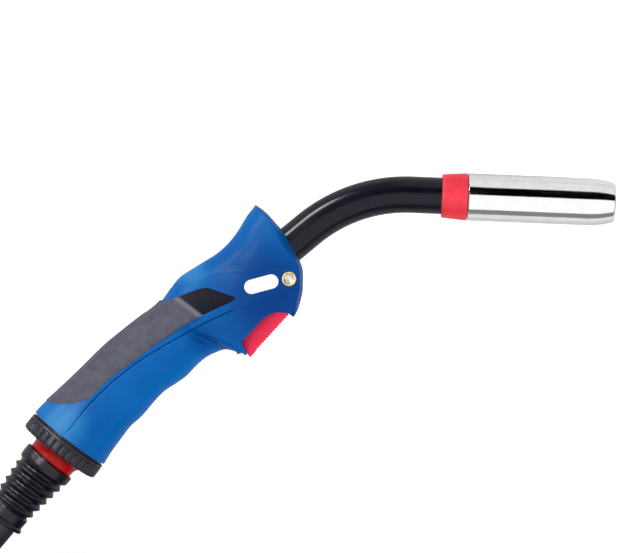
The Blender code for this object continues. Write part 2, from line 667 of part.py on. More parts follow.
def shell_fasteners():
    """The screw in its flanged bushing, and the nut in the far shell."""
    place = Matrix.Translation((*SCREW_CENTRE, 0))
    axis = place @ Matrix.Rotation(-math.pi / 2, 4, "Y")  # local X points up
    inner = SCREW_HEAD_RADIUS + GAP
    outer = inner + BUSHING_WALL
    floor = SCREW_TOP - BUSHING_DEPTH
    bushing = [
        (SCREW_TOP, BUSHING_FLANGE_RADIUS), (SCREW_TOP, inner), (floor + BUSHING_WALL, inner),
        (floor + BUSHING_WALL, SCREW_RADIUS + GAP), (floor, SCREW_RADIUS + GAP), (floor, outer),
        (SCREW_TOP - BUSHING_FLANGE_HEIGHT, outer),
        (SCREW_TOP - BUSHING_FLANGE_HEIGHT, BUSHING_FLANGE_RADIUS),
    ]
    add("screw_bushing", turned(bushing), BRASS, torch, axis)
    seat = floor + BUSHING_WALL + GAP
    head_top = seat + SCREW_HEAD_HEIGHT
    screw = turned([(-SCREW_TOP + GAP, 0), (-SCREW_TOP + GAP, SCREW_RADIUS), (seat, SCREW_RADIUS),
                    (seat, SCREW_HEAD_RADIUS), (head_top, SCREW_HEAD_RADIUS), (head_top, 0)], 20)
    socket = turned([(head_top - HEX_SOCKET_DEPTH, 0), (head_top - HEX_SOCKET_DEPTH, HEX_SOCKET_RADIUS),
                     (head_top + GAP, HEX_SOCKET_RADIUS), (head_top + GAP, 0)], 6)
    add("shell_screw", combined(screw, socket), STEEL, torch, axis)
    bore = SCREW_RADIUS + GAP
    nut = [(-SCREW_TOP + GAP, NUT_RADIUS), (-SCREW_TOP + GAP, bore),
           (-SCREW_TOP + NUT_HEIGHT + GAP, bore), (-SCREW_TOP + NUT_HEIGHT + GAP, NUT_RADIUS)]
    add("shell_nut", turned(nut, 6), STEEL, torch, axis)


# ---- neck and front end ------------------------------------------------------------------

BEND_LENGTH = NECK_BEND * NECK_BEND_RADIUS


def neck_place(distance):
    """Place and heading on the neck's centreline, from the start of its bend."""
    if distance <= 0:
        x = NECK_START[0] + distance * math.cos(NECK_HEADING)
        return x, NECK_START[1] + distance * math.sin(NECK_HEADING), NECK_HEADING
    turn = min(distance, BEND_LENGTH) / NECK_BEND_RADIUS
    heading = NECK_HEADING - turn
    x = NECK_START[0] + NECK_BEND_RADIUS * (math.sin(NECK_HEADING) - math.sin(heading))
    y = NECK_START[1] + NECK_BEND_RADIUS * (math.cos(heading) - math.cos(NECK_HEADING))
    beyond = max(0.0, distance - BEND_LENGTH)
    return x + beyond * math.cos(heading), y + beyond * math.sin(heading), heading


def neck_path(start, end, steps=7):
    """Places from start to end, close together only in the bend."""
    bend = [BEND_LENGTH * k / steps for k in range(steps + 1)]
    return [neck_place(d) for d in [start, *(b for b in bend if start < b < end), end]]


def neck_pieces():
    jacket_end = BEND_LENGTH + INSULATOR_START - GAP
    rear = -JACKET_IN_HANDLE
    bore = JACKET_RADIUS - JACKET_WALL
    add("neck_jacket", bored_tube(neck_path(rear, jacket_end), JACKET_RADIUS, bore, 20), BLACK, torch)
    tube_rear = rear - COUPLING_SOCKET + GAP
    tube_end = jacket_end + INSULATOR_LENGTH / 3
    tube_radius = bore - GAP
    tube = bored_tube(neck_path(tube_rear, tube_end), tube_radius, INNER_TUBE_BORE, 14)
    add("neck_inner_tube", tube, COPPER, torch)
    coupling_rear = rear - GAP - COUPLING_LENGTH
    liner_end = tube_end + GAP + HOLDER_LENGTH - TIP_SEAT - GAP
    liner = bored_tube(neck_path(coupling_rear, liner_end), LINER_RADIUS, LINER_BORE, 8)
    add("wire_liner", liner, STEEL, torch)
    along = heading_matrix(NECK_START, NECK_HEADING)
    front = rear - GAP
    socket = tube_radius + GAP
    coupling = [
        (front, COUPLING_RADIUS), (front, socket), (front - COUPLING_SOCKET, socket),
        (front - COUPLING_SOCKET, INNER_TUBE_BORE), (coupling_rear, INNER_TUBE_BORE),
        (coupling_rear, COUPLING_RADIUS),
    ]
    add("neck_coupling", turned(coupling), BRASS, torch, along)
    hose_room = HOSE_RADIUS + HOSE_CLEARANCE
    start = coupling_rear - GAP
    ferrule = [
        (start, hose_room + FERRULE_WALL), (start, INNER_TUBE_BORE),
        (start - 2 * FERRULE_WALL, INNER_TUBE_BORE), (start - 2 * FERRULE_WALL, hose_room),
        (start - FERRULE_LENGTH, hose_room), (start - FERRULE_LENGTH, hose_room + FERRULE_WALL),
    ]
    add("hose_ferrule", turned(ferrule, FINE - 4), BRASS, torch, along)
    hose_start = start - 2 * FERRULE_WALL - GAP
    ferrule_mouth = start - FERRULE_LENGTH
    back = (-math.cos(HOSE_AXIS), -math.sin(HOSE_AXIS))
    route = [(*neck_place(d)[:2], 0) for d in (hose_start, hose_start - FERRULE_LENGTH / 2, ferrule_mouth)]
    for reach in (-BALL_RADIUS, 0.0, -SLEEVE_END / 2, -SLEEVE_END):
        route.append((BALL_CENTRE[0] + back[0] * reach, BALL_CENTRE[1] + back[1] * reach, 0))
    add_cord("hose_lead", smooth_route(route, HOSE_RADIUS * 1.2), HOSE_RADIUS, HOSE_BLACK, torch)


def front_end_pieces():
    seat = Matrix.Translation((*neck_place(BEND_LENGTH)[:2], 0))
    nozzle_axis = empty("nozzle_axis", seat @ Matrix.Rotation(NECK_HEADING - NECK_BEND, 4, "Z"), torch)
    nozzle_start = INSULATOR_START + INSULATOR_LENGTH + GAP
    bore = NOZZLE_RADIUS - NOZZLE_WALL
    sleeve = bore - SPRING_CLIP_DEPTH / 2 - 2 * GAP
    inside = JACKET_RADIUS - JACKET_WALL
    groove = nozzle_start + NOZZLE_SEAT_LENGTH / 2
    groove_radius = sleeve - SPRING_CLIP_DEPTH
    half_groove = SPRING_CLIP_WIDTH / 2 + GAP
    insulator = [
        (INSULATOR_START, INSULATOR_RADIUS_REAR),
        (INSULATOR_START + INSULATOR_LENGTH * 0.75, INSULATOR_RADIUS_FRONT - GAP),
        (INSULATOR_START + INSULATOR_LENGTH, INSULATOR_RADIUS_FRONT),
        (INSULATOR_START + INSULATOR_LENGTH, sleeve), (groove - half_groove, sleeve),
        (groove - half_groove, groove_radius), (groove + half_groove, groove_radius),
        (groove + half_groove, sleeve), (nozzle_start + NOZZLE_SEAT_LENGTH, sleeve),
        (nozzle_start + NOZZLE_SEAT_LENGTH, inside), (INSULATOR_START, inside),
    ]
    add("nozzle_insulator", turned(insulator, FINE - 4), RED, nozzle_axis)
    rear, front = groove - SPRING_CLIP_WIDTH / 2, groove + SPRING_CLIP_WIDTH / 2
    clip = [(rear, groove_radius + GAP), (front, groove_radius + GAP), (front, bore - 2 * GAP),
            (groove, bore - GAP), (rear, bore - 2 * GAP)]
    add("nozzle_spring_clip", turned(clip), STEEL, nozzle_axis)

    tube_end = INSULATOR_START - GAP + INSULATOR_LENGTH / 3
    holder_start = tube_end + GAP
    holder_end = holder_start + HOLDER_LENGTH
    tube_radius = inside - GAP
    liner_room = LINER_RADIUS + GAP
    tip_room = TIP_RADIUS + GAP
    shoulder = holder_end - DIFFUSER_LENGTH - DIFFUSER_SETBACK
    holder = [
        (holder_start, tube_radius), (shoulder, tube_radius),
        (shoulder, HOLDER_RADIUS), (holder_end, HOLDER_RADIUS),
        (holder_end, tip_room), (holder_end - TIP_SEAT - GAP, tip_room),
        (holder_end - TIP_SEAT - GAP, liner_room), (holder_start, liner_room),
    ]
    add("tip_holder", turned(holder), BRASS, nozzle_axis)
    ring_start = shoulder + GAP
    ring_bore = HOLDER_RADIUS + GAP
    ring = turned([(ring_start, ring_bore + DIFFUSER_WALL), (ring_start, ring_bore),
                   (ring_start + DIFFUSER_LENGTH, ring_bore),
                   (ring_start + DIFFUSER_LENGTH, ring_bore + DIFFUSER_WALL)])
    for k in range(DIFFUSER_PORTS):
        port = rod(PORT_RADIUS, ring_bore - PORT_RADIUS, 2 * ring_bore, (0, 0), 6)
        turn = Matrix.Rotation(math.tau * (k + 0.5) / DIFFUSER_PORTS, 4, "X")
        place = Matrix.Translation((ring_start + DIFFUSER_LENGTH / 2, 0, 0))
        ring = combined(ring, moved(port, place @ turn))
    add("gas_diffuser", ring, CERAMIC, nozzle_axis)
    tip_start = holder_end - TIP_SEAT
    tip_end = tip_start + TIP_LENGTH
    tip = [
        (tip_start, TIP_RADIUS), (tip_end - TIP_NOSE_LENGTH, TIP_RADIUS), (tip_end, TIP_NOSE_RADIUS),
        (tip_end, TIP_BORE), (tip_start, TIP_BORE),
    ]
    add("contact_tip", turned(tip, 12), COPPER, nozzle_axis)

    nozzle_end = nozzle_start + NOZZLE_LENGTH
    taper = []
    for k in range(5):
        share = k / 4
        radius = NOZZLE_MOUTH_RADIUS + (NOZZLE_RADIUS - NOZZLE_MOUTH_RADIUS) * math.sqrt(1 - share ** 2)
        taper.append((nozzle_end - NOZZLE_TAPER * (1 - share), radius))
    nozzle = [(nozzle_start, NOZZLE_RADIUS), *taper]
    nozzle += [(x, radius - NOZZLE_WALL) for x, radius in reversed(taper)]
    nozzle += [(nozzle_start, bore)]
    add("gas_nozzle", turned(nozzle, FINE), CHROME, nozzle_axis)


# ---- trigger, switch and control leads ---------------------------------------------------


def trigger_pieces():
    pivot = empty("trigger_pivot", Matrix.Translation((*PIVOT, 0)), torch)
    trigger = prism(trigger_outline(), -TRIGGER_HALF_WIDTH, TRIGGER_HALF_WIDTH)
    hole = rod(PIN_RADIUS + PIN_CLEARANCE, -2 * TRIGGER_HALF_WIDTH, 2 * TRIGGER_HALF_WIDTH)
    add("trigger", combined(trigger, hole), RED, pivot)
    add("trigger_pin", rod(PIN_RADIUS, -PIN_REACH, PIN_REACH, PIVOT, 16), STEEL, torch)
    radius = PIN_RADIUS + GAP + SPRING_WIRE
    low = TRIGGER_HALF_WIDTH + GAP + SPRING_WIRE
    coil = []
    for k in range(8 * SPRING_TURNS + 1):
        angle = math.tau * k / 8
        coil.append((PIVOT[0] + radius * math.cos(angle), PIVOT[1] + radius * math.sin(angle),
                     low + SPRING_PITCH * k / 8))
    add_cord("trigger_spring", coil, SPRING_WIRE, STEEL, torch, smoothness=1)

    case = switch_block()
    for side in (-1, 1):
        place = (side * SWITCH_HOLE_PITCH / 2, SWITCH_HEIGHT / 2)
        case = combined(case, rod(SWITCH_PEG_RADIUS + GAP, -SWITCH_LENGTH, SWITCH_LENGTH, place, 12))
    to_trigger = Matrix.Rotation(-math.pi / 2, 4, "Z")  # local X points from the switch to the trigger
    bore = turned([(-PLUNGER_BORE_DEPTH, 0), (-PLUNGER_BORE_DEPTH, PLUNGER_RADIUS + GAP),
                   (GAP, PLUNGER_RADIUS + GAP), (GAP, 0)], 12)
    case = combined(case, moved(bore, to_trigger))
    add("microswitch_body", case, BLACK, torch, SWITCH)
    plunger_axis = empty("plunger_axis", SWITCH @ to_trigger, torch)
    tip = PLUNGER_REACH - GAP
    plunger = turned([(-PLUNGER_DEPTH, 0), (-PLUNGER_DEPTH, PLUNGER_RADIUS),
                      (tip - PLUNGER_RADIUS / 3, PLUNGER_RADIUS), (tip, PLUNGER_RADIUS / 2), (tip, 0)], 12)
    add("switch_plunger", plunger, RED, plunger_axis)

    along = heading_matrix(NECK_START, NECK_HEADING)
    below = -(HOSE_RADIUS + HOSE_CLEARANCE + FERRULE_WALL + GAP)
    block = prism([(-CONNECTOR_DISTANCE, below), (-CONNECTOR_DISTANCE, below - CONNECTOR_HEIGHT),
                   (-CONNECTOR_DISTANCE + CONNECTOR_LENGTH, below - CONNECTOR_HEIGHT),
                   (-CONNECTOR_DISTANCE + CONNECTOR_LENGTH, below)], -CONNECTOR_HALF_WIDTH,
                  CONNECTOR_HALF_WIDTH)
    add("lead_connector", block, WHITE, torch, along)
    for name, side in (("a", -1), ("b", 1)):
        start = Vector((-CONNECTOR_DISTANCE + CONNECTOR_LENGTH + GAP, below - CONNECTOR_HEIGHT / 2,
                        side * LEAD_SPACING / 2))
        away = start + Vector((2 * LEAD_RADIUS, 0, 0))
        end = Vector((-SWITCH_LENGTH / 2 - GAP, SWITCH_HEIGHT * 0.6, side * LEAD_SPACING / 2))
        near = end - Vector((2 * LEAD_RADIUS, 0, 0))
        route = [along @ start, along @ away, SWITCH @ near, SWITCH @ end]
        add_cord(f"control_lead_{name}", smooth_route(route, 2 * LEAD_RADIUS), LEAD_RADIUS, BLACK, torch)


# ---- ball joint, collar and bend sleeve --------------------------------------------------


def on_sphere(radius, start, end, steps):
    """Places (x, radius) on a sphere about the origin, from one distance along X to another."""
    return [(x, math.sqrt(radius ** 2 - x ** 2)) for x in np.linspace(start, end, steps + 1)]


def ball_joint_pieces():
    rear_axis = empty("handle_rear_axis", heading_matrix(BALL_CENTRE, HANDLE_AXIS), torch)
    seat_radius = BALL_RADIUS + GAP
    nut_bore = SEAT_BODY_RADIUS
    seat_rear = SEAT_FLANGE_FRONT - SEAT_FLANGE_LENGTH
    seat = [
        (SEAT_NECK_END, nut_bore - GAP), (seat_rear, nut_bore - GAP), (seat_rear, SEAT_FLANGE_RADIUS),
        (SEAT_FLANGE_FRONT, SEAT_FLANGE_RADIUS), (SEAT_FLANGE_FRONT, SEAT_BODY_RADIUS),
        (SEAT_FRONT, SEAT_BODY_RADIUS), *on_sphere(seat_radius, SEAT_FRONT, SEAT_NECK_END, 5),
    ]
    add("ball_seat", turned(seat, FINE), BLACK, rear_axis)

    front = seat_rear - GAP
    counterbore = SEAT_NECK_END - GAP
    throat = COLLAR_REAR + COLLAR_CHAMFER
    outline = [
        (front, nut_bore), (front, COLLAR_RADIUS - EDGE), (front - EDGE, COLLAR_RADIUS),
        (COLLAR_REAR + EDGE, COLLAR_RADIUS), (COLLAR_REAR, COLLAR_RADIUS - EDGE),
        (COLLAR_REAR, math.sqrt(seat_radius ** 2 - throat ** 2) + COLLAR_CHAMFER / 2),
        *on_sphere(seat_radius, throat, counterbore, 2), (counterbore, nut_bore),
    ]

    def fluted(x, radius, angle):
        if radius < COLLAR_RADIUS - 2 * EDGE:
            return radius
        return radius - FLUTE_DEPTH * (0.5 - 0.5 * math.sin(angle * COLLAR_FLUTES))

    add("collar_nut", turned(outline, 2 * COLLAR_FLUTES, fluted), BLACK, rear_axis)

    hose_axis = empty("hose_axis", heading_matrix(BALL_CENTRE, HOSE_AXIS), torch)
    bore = HOSE_RADIUS + HOSE_CLEARANCE
    ball = [
        (BALL_FRONT, bore), *on_sphere(BALL_RADIUS, BALL_FRONT, COLLAR_REAR, 6),
        *((x, BALL_NECK_RADIUS + rise) for x, rise in BALL_NECK_CURVE),
        (SLEEVE_FRONT + GAP, BALL_NECK_RADIUS + BALL_RIM), (SLEEVE_FRONT + GAP, SPIGOT_RADIUS),
        (SPIGOT_END, SPIGOT_RADIUS), (SPIGOT_END, bore),
    ]
    add("swivel_ball", turned(ball, FINE), RED, hose_axis)

    sleeve = [(SLEEVE_FRONT, SPIGOT_RADIUS + GAP), (SLEEVE_FRONT, SLEEVE_BAND_RADIUS - SLEEVE_EDGE),
              (SLEEVE_FRONT - SLEEVE_EDGE, SLEEVE_BAND_RADIUS)]
    band_end = SLEEVE_FRONT - SLEEVE_BAND_LENGTH
    cuff_start = SLEEVE_END + SLEEVE_CUFF_LENGTH
    sleeve.append((band_end, SLEEVE_BAND_RADIUS - SLEEVE_EDGE / 2))
    pitch = (band_end - cuff_start) / SLEEVE_RIBS
    first_rib, last_rib = SLEEVE_BAND_RADIUS - SLEEVE_EDGE, SLEEVE_CUFF_RADIUS + SLEEVE_EDGE
    for k in range(SLEEVE_RIBS):
        crest = first_rib + (last_rib - first_rib) * k / SLEEVE_RIBS
        at = band_end - pitch * k
        sleeve += [(at - pitch * 0.2, crest - RIB_DEPTH), (at - pitch * 0.45, crest),
                   (at - pitch * 0.85, crest)]
    sleeve += [
        (cuff_start, SLEEVE_CUFF_RADIUS), (SLEEVE_END + SLEEVE_BEAD, SLEEVE_CUFF_RADIUS),
        (SLEEVE_END + SLEEVE_BEAD - SLEEVE_EDGE, SLEEVE_BEAD_RADIUS),
        (SLEEVE_END, SLEEVE_BEAD_RADIUS - SLEEVE_EDGE), (SLEEVE_END, bore), (SPIGOT_END - EDGE, bore),
        (SPIGOT_END - GAP, SPIGOT_RADIUS + GAP),
    ]
    add("bend_sleeve", turned(sleeve, 18), BLACK, hose_axis)


# ---- hose, coil and straps ---------------------------------------------------------------

# The stretch from the sleeve to the coil, and from the coil to the plug: centreline, mm
RUN_ROUTE = (
    (-168.1, -131.6, 23.35), (-177.6, -142.8, 22.9), (-187.3, -154.2, 20.3), (-197.0, -165.7, 16.0),
    (-205.6, -176.2, 12.8), (-211.2, -185.1, 11.0), (-216.0, -195.4, 10.1),
)
TAIL_ROUTE = (
    (-43.9, -385.0, 15.8), (-19.5, -379.3, 11.8), (3.7, -367.2, 10.2), (22.9, -349.6, 11.0),
    (37.4, -327.6, 16.0), (44.8, -307.0, 22.4), (46.3, -291.0, 24.8), (46.3, -278.0, 25.0),
    (46.3, -250.0, 25.0), (46.3, -223.0, 25.0),
)


def coil_pieces():
    coil = empty("coil", Matrix.Translation((*COIL_CENTRE, 0)), assembly)
    low = STRAP_THICKNESS + GAP
    high = low + 4 * HOSE_RADIUS
    rise = (high - low) / 4
    run = (COIL_OUTER - COIL_INNER) / 5
    ring = [
        (low, COIL_INNER + run), (low, COIL_OUTER - run), (low + rise / 2, COIL_OUTER),
        (high - rise / 2, COIL_OUTER), (high, COIL_OUTER - run), (high, COIL_INNER + run),
        (high - rise / 2, COIL_INNER), (low + rise / 2, COIL_INNER),
    ]
    upright = Matrix.Rotation(-math.pi / 2, 4, "Y")  # local X points up
    add("hose_coil", turned(ring, 36), HOSE_BLACK, coil, upright)

    sag = COIL_INNER - math.sqrt(COIL_INNER ** 2 - (STRAP_WIDTH / 2) ** 2)
    bundle = [(radius - (sag if radius < COIL_OUTER - run - MM else 0), height) for height, radius in ring]
    inner = grown(bundle, GAP)
    outer = grown(inner, STRAP_THICKNESS)
    tilt = Matrix.Rotation(math.pi / 2, 4, "X")  # local Y points up
    for name, bearing in zip(("a", "b"), STRAP_BEARINGS):
        place = Matrix.Rotation(bearing, 4, "Z") @ tilt
        strap = frame_prism(outer, inner, -STRAP_WIDTH / 2, STRAP_WIDTH / 2)
        add(f"coil_strap_{name}", strap, BLACK, coil, place)
    spacing = 2.2 * HOSE_RADIUS
    for name, route in (("hose_run", RUN_ROUTE), ("hose_tail", TAIL_ROUTE)):
        points = smooth_route([(x * MM, y * MM, z * MM) for x, y, z in route], spacing)
        add_cord(name, points, HOSE_RADIUS, HOSE_BLACK, assembly)


# ---- machine plug ------------------------------------------------------------------------


def plug_pieces():
    place = Matrix.Translation((*PLUG_START, PLUG_AXIS_HEIGHT)) @ Matrix.Rotation(math.pi / 2, 4, "Z")
    plug = empty("plug_axis", place, assembly)
    hose_room = HOSE_RADIUS + HOSE_CLEARANCE
    sleeve = [
        (0, hose_room), (0, hose_room + PLUG_SLEEVE_LIP),
        (PLUG_HOUSING_START - GAP, PLUG_SLEEVE_RADIUS - EDGE), (PLUG_SLEEVE_LENGTH, PLUG_SLEEVE_RADIUS),
        (PLUG_SLEEVE_LENGTH, hose_room),
    ]
    add("plug_sleeve", turned(sleeve), BLACK, plug)

    inner = PLUG_HOUSING_RADIUS - PLUG_HOUSING_WALL
    throat = PLUG_SLEEVE_RADIUS + GAP
    body_rear = PLUG_HOSE_END + GAP
    housing = turned([
        (PLUG_HOUSING_START, throat), (PLUG_HOUSING_START, PLUG_HOUSING_RADIUS - EDGE),
        (PLUG_HOUSING_START + PLUG_HOUSING_TAPER, PLUG_HOUSING_RADIUS),
        (PLUG_HOUSING_END, PLUG_HOUSING_RADIUS),
        (PLUG_HOUSING_END, inner), (PLUG_SLEEVE_LENGTH + PLUG_HOUSING_WALL, inner),
        (PLUG_SLEEVE_LENGTH, throat),
    ], 24)
    reach = 2 * PLUG_HOUSING_END
    place = (PLUG_SCREW_AT, PLUG_SCREW_OFFSET)
    boss = rod(PLUG_SCREW_HEAD_RADIUS + 2 * GAP, -inner, inner, place, 12)
    within = PLUG_HOUSING_RADIUS - GAP
    room = turned([(-reach, 0), (-reach, within), (reach, within), (reach, 0)], 24)
    housing = combined(housing, combined(boss, room, "INTERSECT"), "UNION")
    screw_top = math.sqrt(PLUG_HOUSING_RADIUS ** 2 - PLUG_SCREW_OFFSET ** 2) - PLUG_SCREW_SINK
    seat = screw_top - PLUG_SCREW_HEAD_HEIGHT
    shank_end = PLUG_HOUSING_WALL - screw_top
    housing = combined(housing, rod(SCREW_RADIUS + GAP, shank_end - GAP, screw_top, place, 12))
    housing = combined(housing, rod(PLUG_SCREW_HEAD_RADIUS + GAP, seat - GAP, reach, place, 12))
    for name, low, high in (("left", -reach, -SEAM / 2), ("right", SEAM / 2, reach)):
        half_space = prism([(-reach, -reach), (reach, -reach), (reach, reach), (-reach, reach)], low, high)
        add(f"plug_housing_{name}", combined(housing, half_space, "INTERSECT"), BLACK, plug)
    screw = turned([(shank_end, 0), (shank_end, SCREW_RADIUS), (seat, SCREW_RADIUS),
                    (seat, PLUG_SCREW_HEAD_RADIUS), (screw_top, PLUG_SCREW_HEAD_RADIUS), (screw_top, 0)], 12)
    up = Matrix.Translation((*place, 0)) @ Matrix.Rotation(-math.pi / 2, 4, "Y")
    add("plug_screw", screw, STEEL, plug, up)

    flange_rear = PLUG_BODY_END - PLUG_FLANGE_LENGTH
    pin_room = POWER_PIN_RADIUS + GAP
    body = turned([
        (body_rear, 0), (body_rear, PLUG_BODY_RADIUS), (flange_rear, PLUG_BODY_RADIUS),
        (flange_rear, PLUG_FLANGE_RADIUS), (PLUG_BODY_END, PLUG_FLANGE_RADIUS), (PLUG_BODY_END, pin_room),
        (PLUG_BODY_END - POWER_PIN_SEAT - GAP, pin_room), (PLUG_BODY_END - POWER_PIN_SEAT - GAP, 0),
    ], 24)
    head_room = SIGNAL_PIN_HEAD + GAP
    head_start = PLUG_BODY_END - SIGNAL_PIN_DEPTH
    spring_start = head_start - PIN_SPRING_LENGTH
    for side in (-1, 1):
        offset = Matrix.Translation((0, side * SIGNAL_PIN_OFFSET, 0))
        hole = turned([(spring_start - GAP, 0), (spring_start - GAP, head_room), (PLUG_BODY_END + GAP,
                       head_room), (PLUG_BODY_END + GAP, 0)], 12)
        body = combined(body, moved(hole, offset))
    add("plug_body", body, BRASS, plug)

    pin_start, pin_end = PLUG_BODY_END - POWER_PIN_SEAT, PLUG_BODY_END + POWER_PIN_LENGTH
    bore = LINER_RADIUS + GAP
    groove = pin_end - SEAL_SETBACK
    pin = [
        (pin_start, POWER_PIN_RADIUS), (groove - SEAL_WIRE - GAP, POWER_PIN_RADIUS),
        (groove - SEAL_WIRE - GAP, POWER_PIN_RADIUS - SEAL_WIRE),
        (groove + SEAL_WIRE + GAP, POWER_PIN_RADIUS - SEAL_WIRE), (groove + SEAL_WIRE + GAP, POWER_PIN_RADIUS),
        (pin_end - EDGE, POWER_PIN_RADIUS), (pin_end, POWER_PIN_RADIUS - EDGE), (pin_end, bore),
        (pin_start, bore),
    ]
    add("power_pin", turned(pin, 12), BRASS, plug)
    centre = POWER_PIN_RADIUS + GAP
    seal = []
    for k in range(6):
        angle = math.tau * k / 6
        seal.append((groove + SEAL_WIRE * math.cos(angle), centre + SEAL_WIRE * math.sin(angle)))
    add("gas_seal_ring", turned(seal, 12), BLACK, plug)
    nut_start = pin_end + GAP
    nut_end = nut_start + LINER_NUT_LENGTH
    nut = [(nut_start, LINER_NUT_RADIUS), (nut_start, LINER_BORE), (nut_end, LINER_BORE),
           (nut_end, LINER_NUT_RADIUS)]
    add("liner_nut", turned(nut, 6), BRASS, plug)

    for number, side in ((1, -1), (2, 1)):
        offset = Matrix.Translation((0, side * SIGNAL_PIN_OFFSET, 0))
        head_end = head_start + SIGNAL_PIN_HEAD_LENGTH
        point_end = PLUG_BODY_END + SIGNAL_PIN_REACH
        pin = turned([
            (head_start, 0), (head_start, SIGNAL_PIN_HEAD), (head_end, SIGNAL_PIN_HEAD),
            (head_end, SIGNAL_PIN_RADIUS), (point_end - SIGNAL_PIN_RADIUS / 2, SIGNAL_PIN_RADIUS),
            (point_end, SIGNAL_PIN_RADIUS / 2), (point_end, 0),
        ], 12)
        add(f"signal_pin_{number}", pin, BRASS, plug, offset)
        start, end = spring_start + SPRING_WIRE, head_start - GAP - SPRING_WIRE
        coil = []
        for k in range(6 * PIN_SPRING_TURNS + 1):
            angle = math.tau * k / 6
            coil.append((start + (end - start) * k / (6 * PIN_SPRING_TURNS),
                         side * SIGNAL_PIN_OFFSET + PIN_SPRING_RADIUS * math.cos(angle),
                         PIN_SPRING_RADIUS * math.sin(angle)))
        add_cord(f"pin_spring_{number}", coil, SPRING_WIRE, STEEL, plug, smoothness=1)

    nut_bore = COUPLING_NUT_RADIUS - COUPLING_NUT_WALL
    rear_bore = PLUG_BODY_RADIUS + 2 * GAP
    shoulder = flange_rear - GAP
    outline = [
        (COUPLING_NUT_START, rear_bore), (COUPLING_NUT_START, COUPLING_NUT_RADIUS - EDGE),
        (COUPLING_NUT_START + EDGE, COUPLING_NUT_RADIUS), (COUPLING_NUT_END - EDGE, COUPLING_NUT_RADIUS),
        (COUPLING_NUT_END, COUPLING_NUT_RADIUS - EDGE), (COUPLING_NUT_END, nut_bore),
        (shoulder, nut_bore), (shoulder, rear_bore),
    ]

    def lugged(x, radius, angle):
        if radius < COUPLING_NUT_RADIUS - 2 * EDGE:
            return radius
        return radius - LUG_DEPTH * (0.5 + 0.5 * math.cos(angle * COUPLING_NUT_LUGS))

    add("coupling_nut", turned(outline, 4 * COUPLING_NUT_LUGS, lugged), BLACK, plug)


def stand_on_origin():
    """Moves the assembly so that the middle of the torch, seen from above, is over the origin."""
    bpy.context.view_layer.update()
    low, high = Vector((math.inf,) * 3), Vector((-math.inf,) * 3)
    pieces = [item for item in torch.children_recursive if item.type == "MESH"]
    for piece in pieces:
        for corner in piece.data.vertices:
            place = piece.matrix_world @ corner.co
            low = Vector(map(min, low, place))
            high = Vector(map(max, high, place))
    assembly.location = (-(low.x + high.x) / 2, -(low.y + high.y) / 2, 0)


handle_pieces()
shell_fasteners()
neck_pieces()
front_end_pieces()
trigger_pieces()
ball_joint_pieces()
coil_pieces()
plug_pieces()
stand_on_origin()
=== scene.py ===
"""Gas-cooled welding torch lying on its side, its hose coiled behind it and ending in its machine plug."""

import math

import bmesh
import bpy
from mathutils import Matrix, Vector


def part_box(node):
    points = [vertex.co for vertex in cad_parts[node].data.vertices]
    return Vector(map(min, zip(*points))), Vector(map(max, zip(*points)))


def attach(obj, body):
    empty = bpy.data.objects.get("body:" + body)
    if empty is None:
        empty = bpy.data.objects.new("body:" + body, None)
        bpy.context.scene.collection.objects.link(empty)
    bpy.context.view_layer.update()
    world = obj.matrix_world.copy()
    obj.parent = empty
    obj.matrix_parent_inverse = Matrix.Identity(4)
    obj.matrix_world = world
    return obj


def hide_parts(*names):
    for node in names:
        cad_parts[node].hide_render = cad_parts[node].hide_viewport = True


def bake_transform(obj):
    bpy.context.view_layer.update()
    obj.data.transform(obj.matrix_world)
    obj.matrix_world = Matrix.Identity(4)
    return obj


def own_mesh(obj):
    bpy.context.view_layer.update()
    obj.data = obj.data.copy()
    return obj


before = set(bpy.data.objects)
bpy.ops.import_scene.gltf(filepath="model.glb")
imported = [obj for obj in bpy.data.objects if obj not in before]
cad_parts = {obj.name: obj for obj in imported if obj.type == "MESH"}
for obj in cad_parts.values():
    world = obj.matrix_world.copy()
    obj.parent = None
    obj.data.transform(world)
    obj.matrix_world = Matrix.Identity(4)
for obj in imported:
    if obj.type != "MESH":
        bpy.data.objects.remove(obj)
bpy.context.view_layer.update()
bpy.ops.object.select_all(action="DESELECT")

# ---- Table and studio --------------------------------------------------------------------
# The torch lies on its side on a pale matt table top, lit by a narrow soft box on the guard side,
# a wide one overhead and a low one on the trigger side. Mirror cards show only as glints.

MM = 0.001
SCREW_X, SCREW_Y = -12.1, -1.2  # the shell screw from MIDDLE, in mm


def middle_of(node):
    low, high = (Vector(corner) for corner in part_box(node))
    return (low + high) / 2


screw_place = middle_of("shell_screw")
MIDDLE = Vector((screw_place.x - SCREW_X * MM, screw_place.y - SCREW_Y * MM, middle_of("collar_nut").z))

VIEW_DISTANCE, VIEW_WIDTH = 1.8, 0.3364
bpy.ops.object.camera_add(location=MIDDLE + Vector((0, 0, VIEW_DISTANCE)), rotation=(0, 0, 0))
camera = bpy.context.object
camera.name = "view_from_above"
camera.data.sensor_width = 36
camera.data.lens = 36 * VIEW_DISTANCE / VIEW_WIDTH
camera.data.clip_end = 20
bpy.context.scene.camera = camera
bpy.context.scene.view_settings.view_transform = "Standard"

bpy.ops.mesh.primitive_plane_add(size=6, location=(0, 0, -0.0002))
table = bpy.context.object
table.name = "table_top"


def new_material(name):
    """A material, its nodes, the links between them and its Principled shader."""
    made = bpy.data.materials.new(name)
    made.use_nodes = True
    nodes = made.node_tree.nodes
    return made, nodes, made.node_tree.links, nodes["Principled BSDF"]


def node_of(nodes, kind, values=(), **settings):
    """A new node with its settings and the fixed values of its sockets."""
    made = nodes.new(kind)
    for setting, value in settings.items():
        setattr(made, setting, value)
    for socket, value in dict(values).items():
        made.inputs[socket].default_value = value
    return made


def set_sockets(shader, values):
    for socket, value in values.items():
        shader.inputs[socket].default_value = value


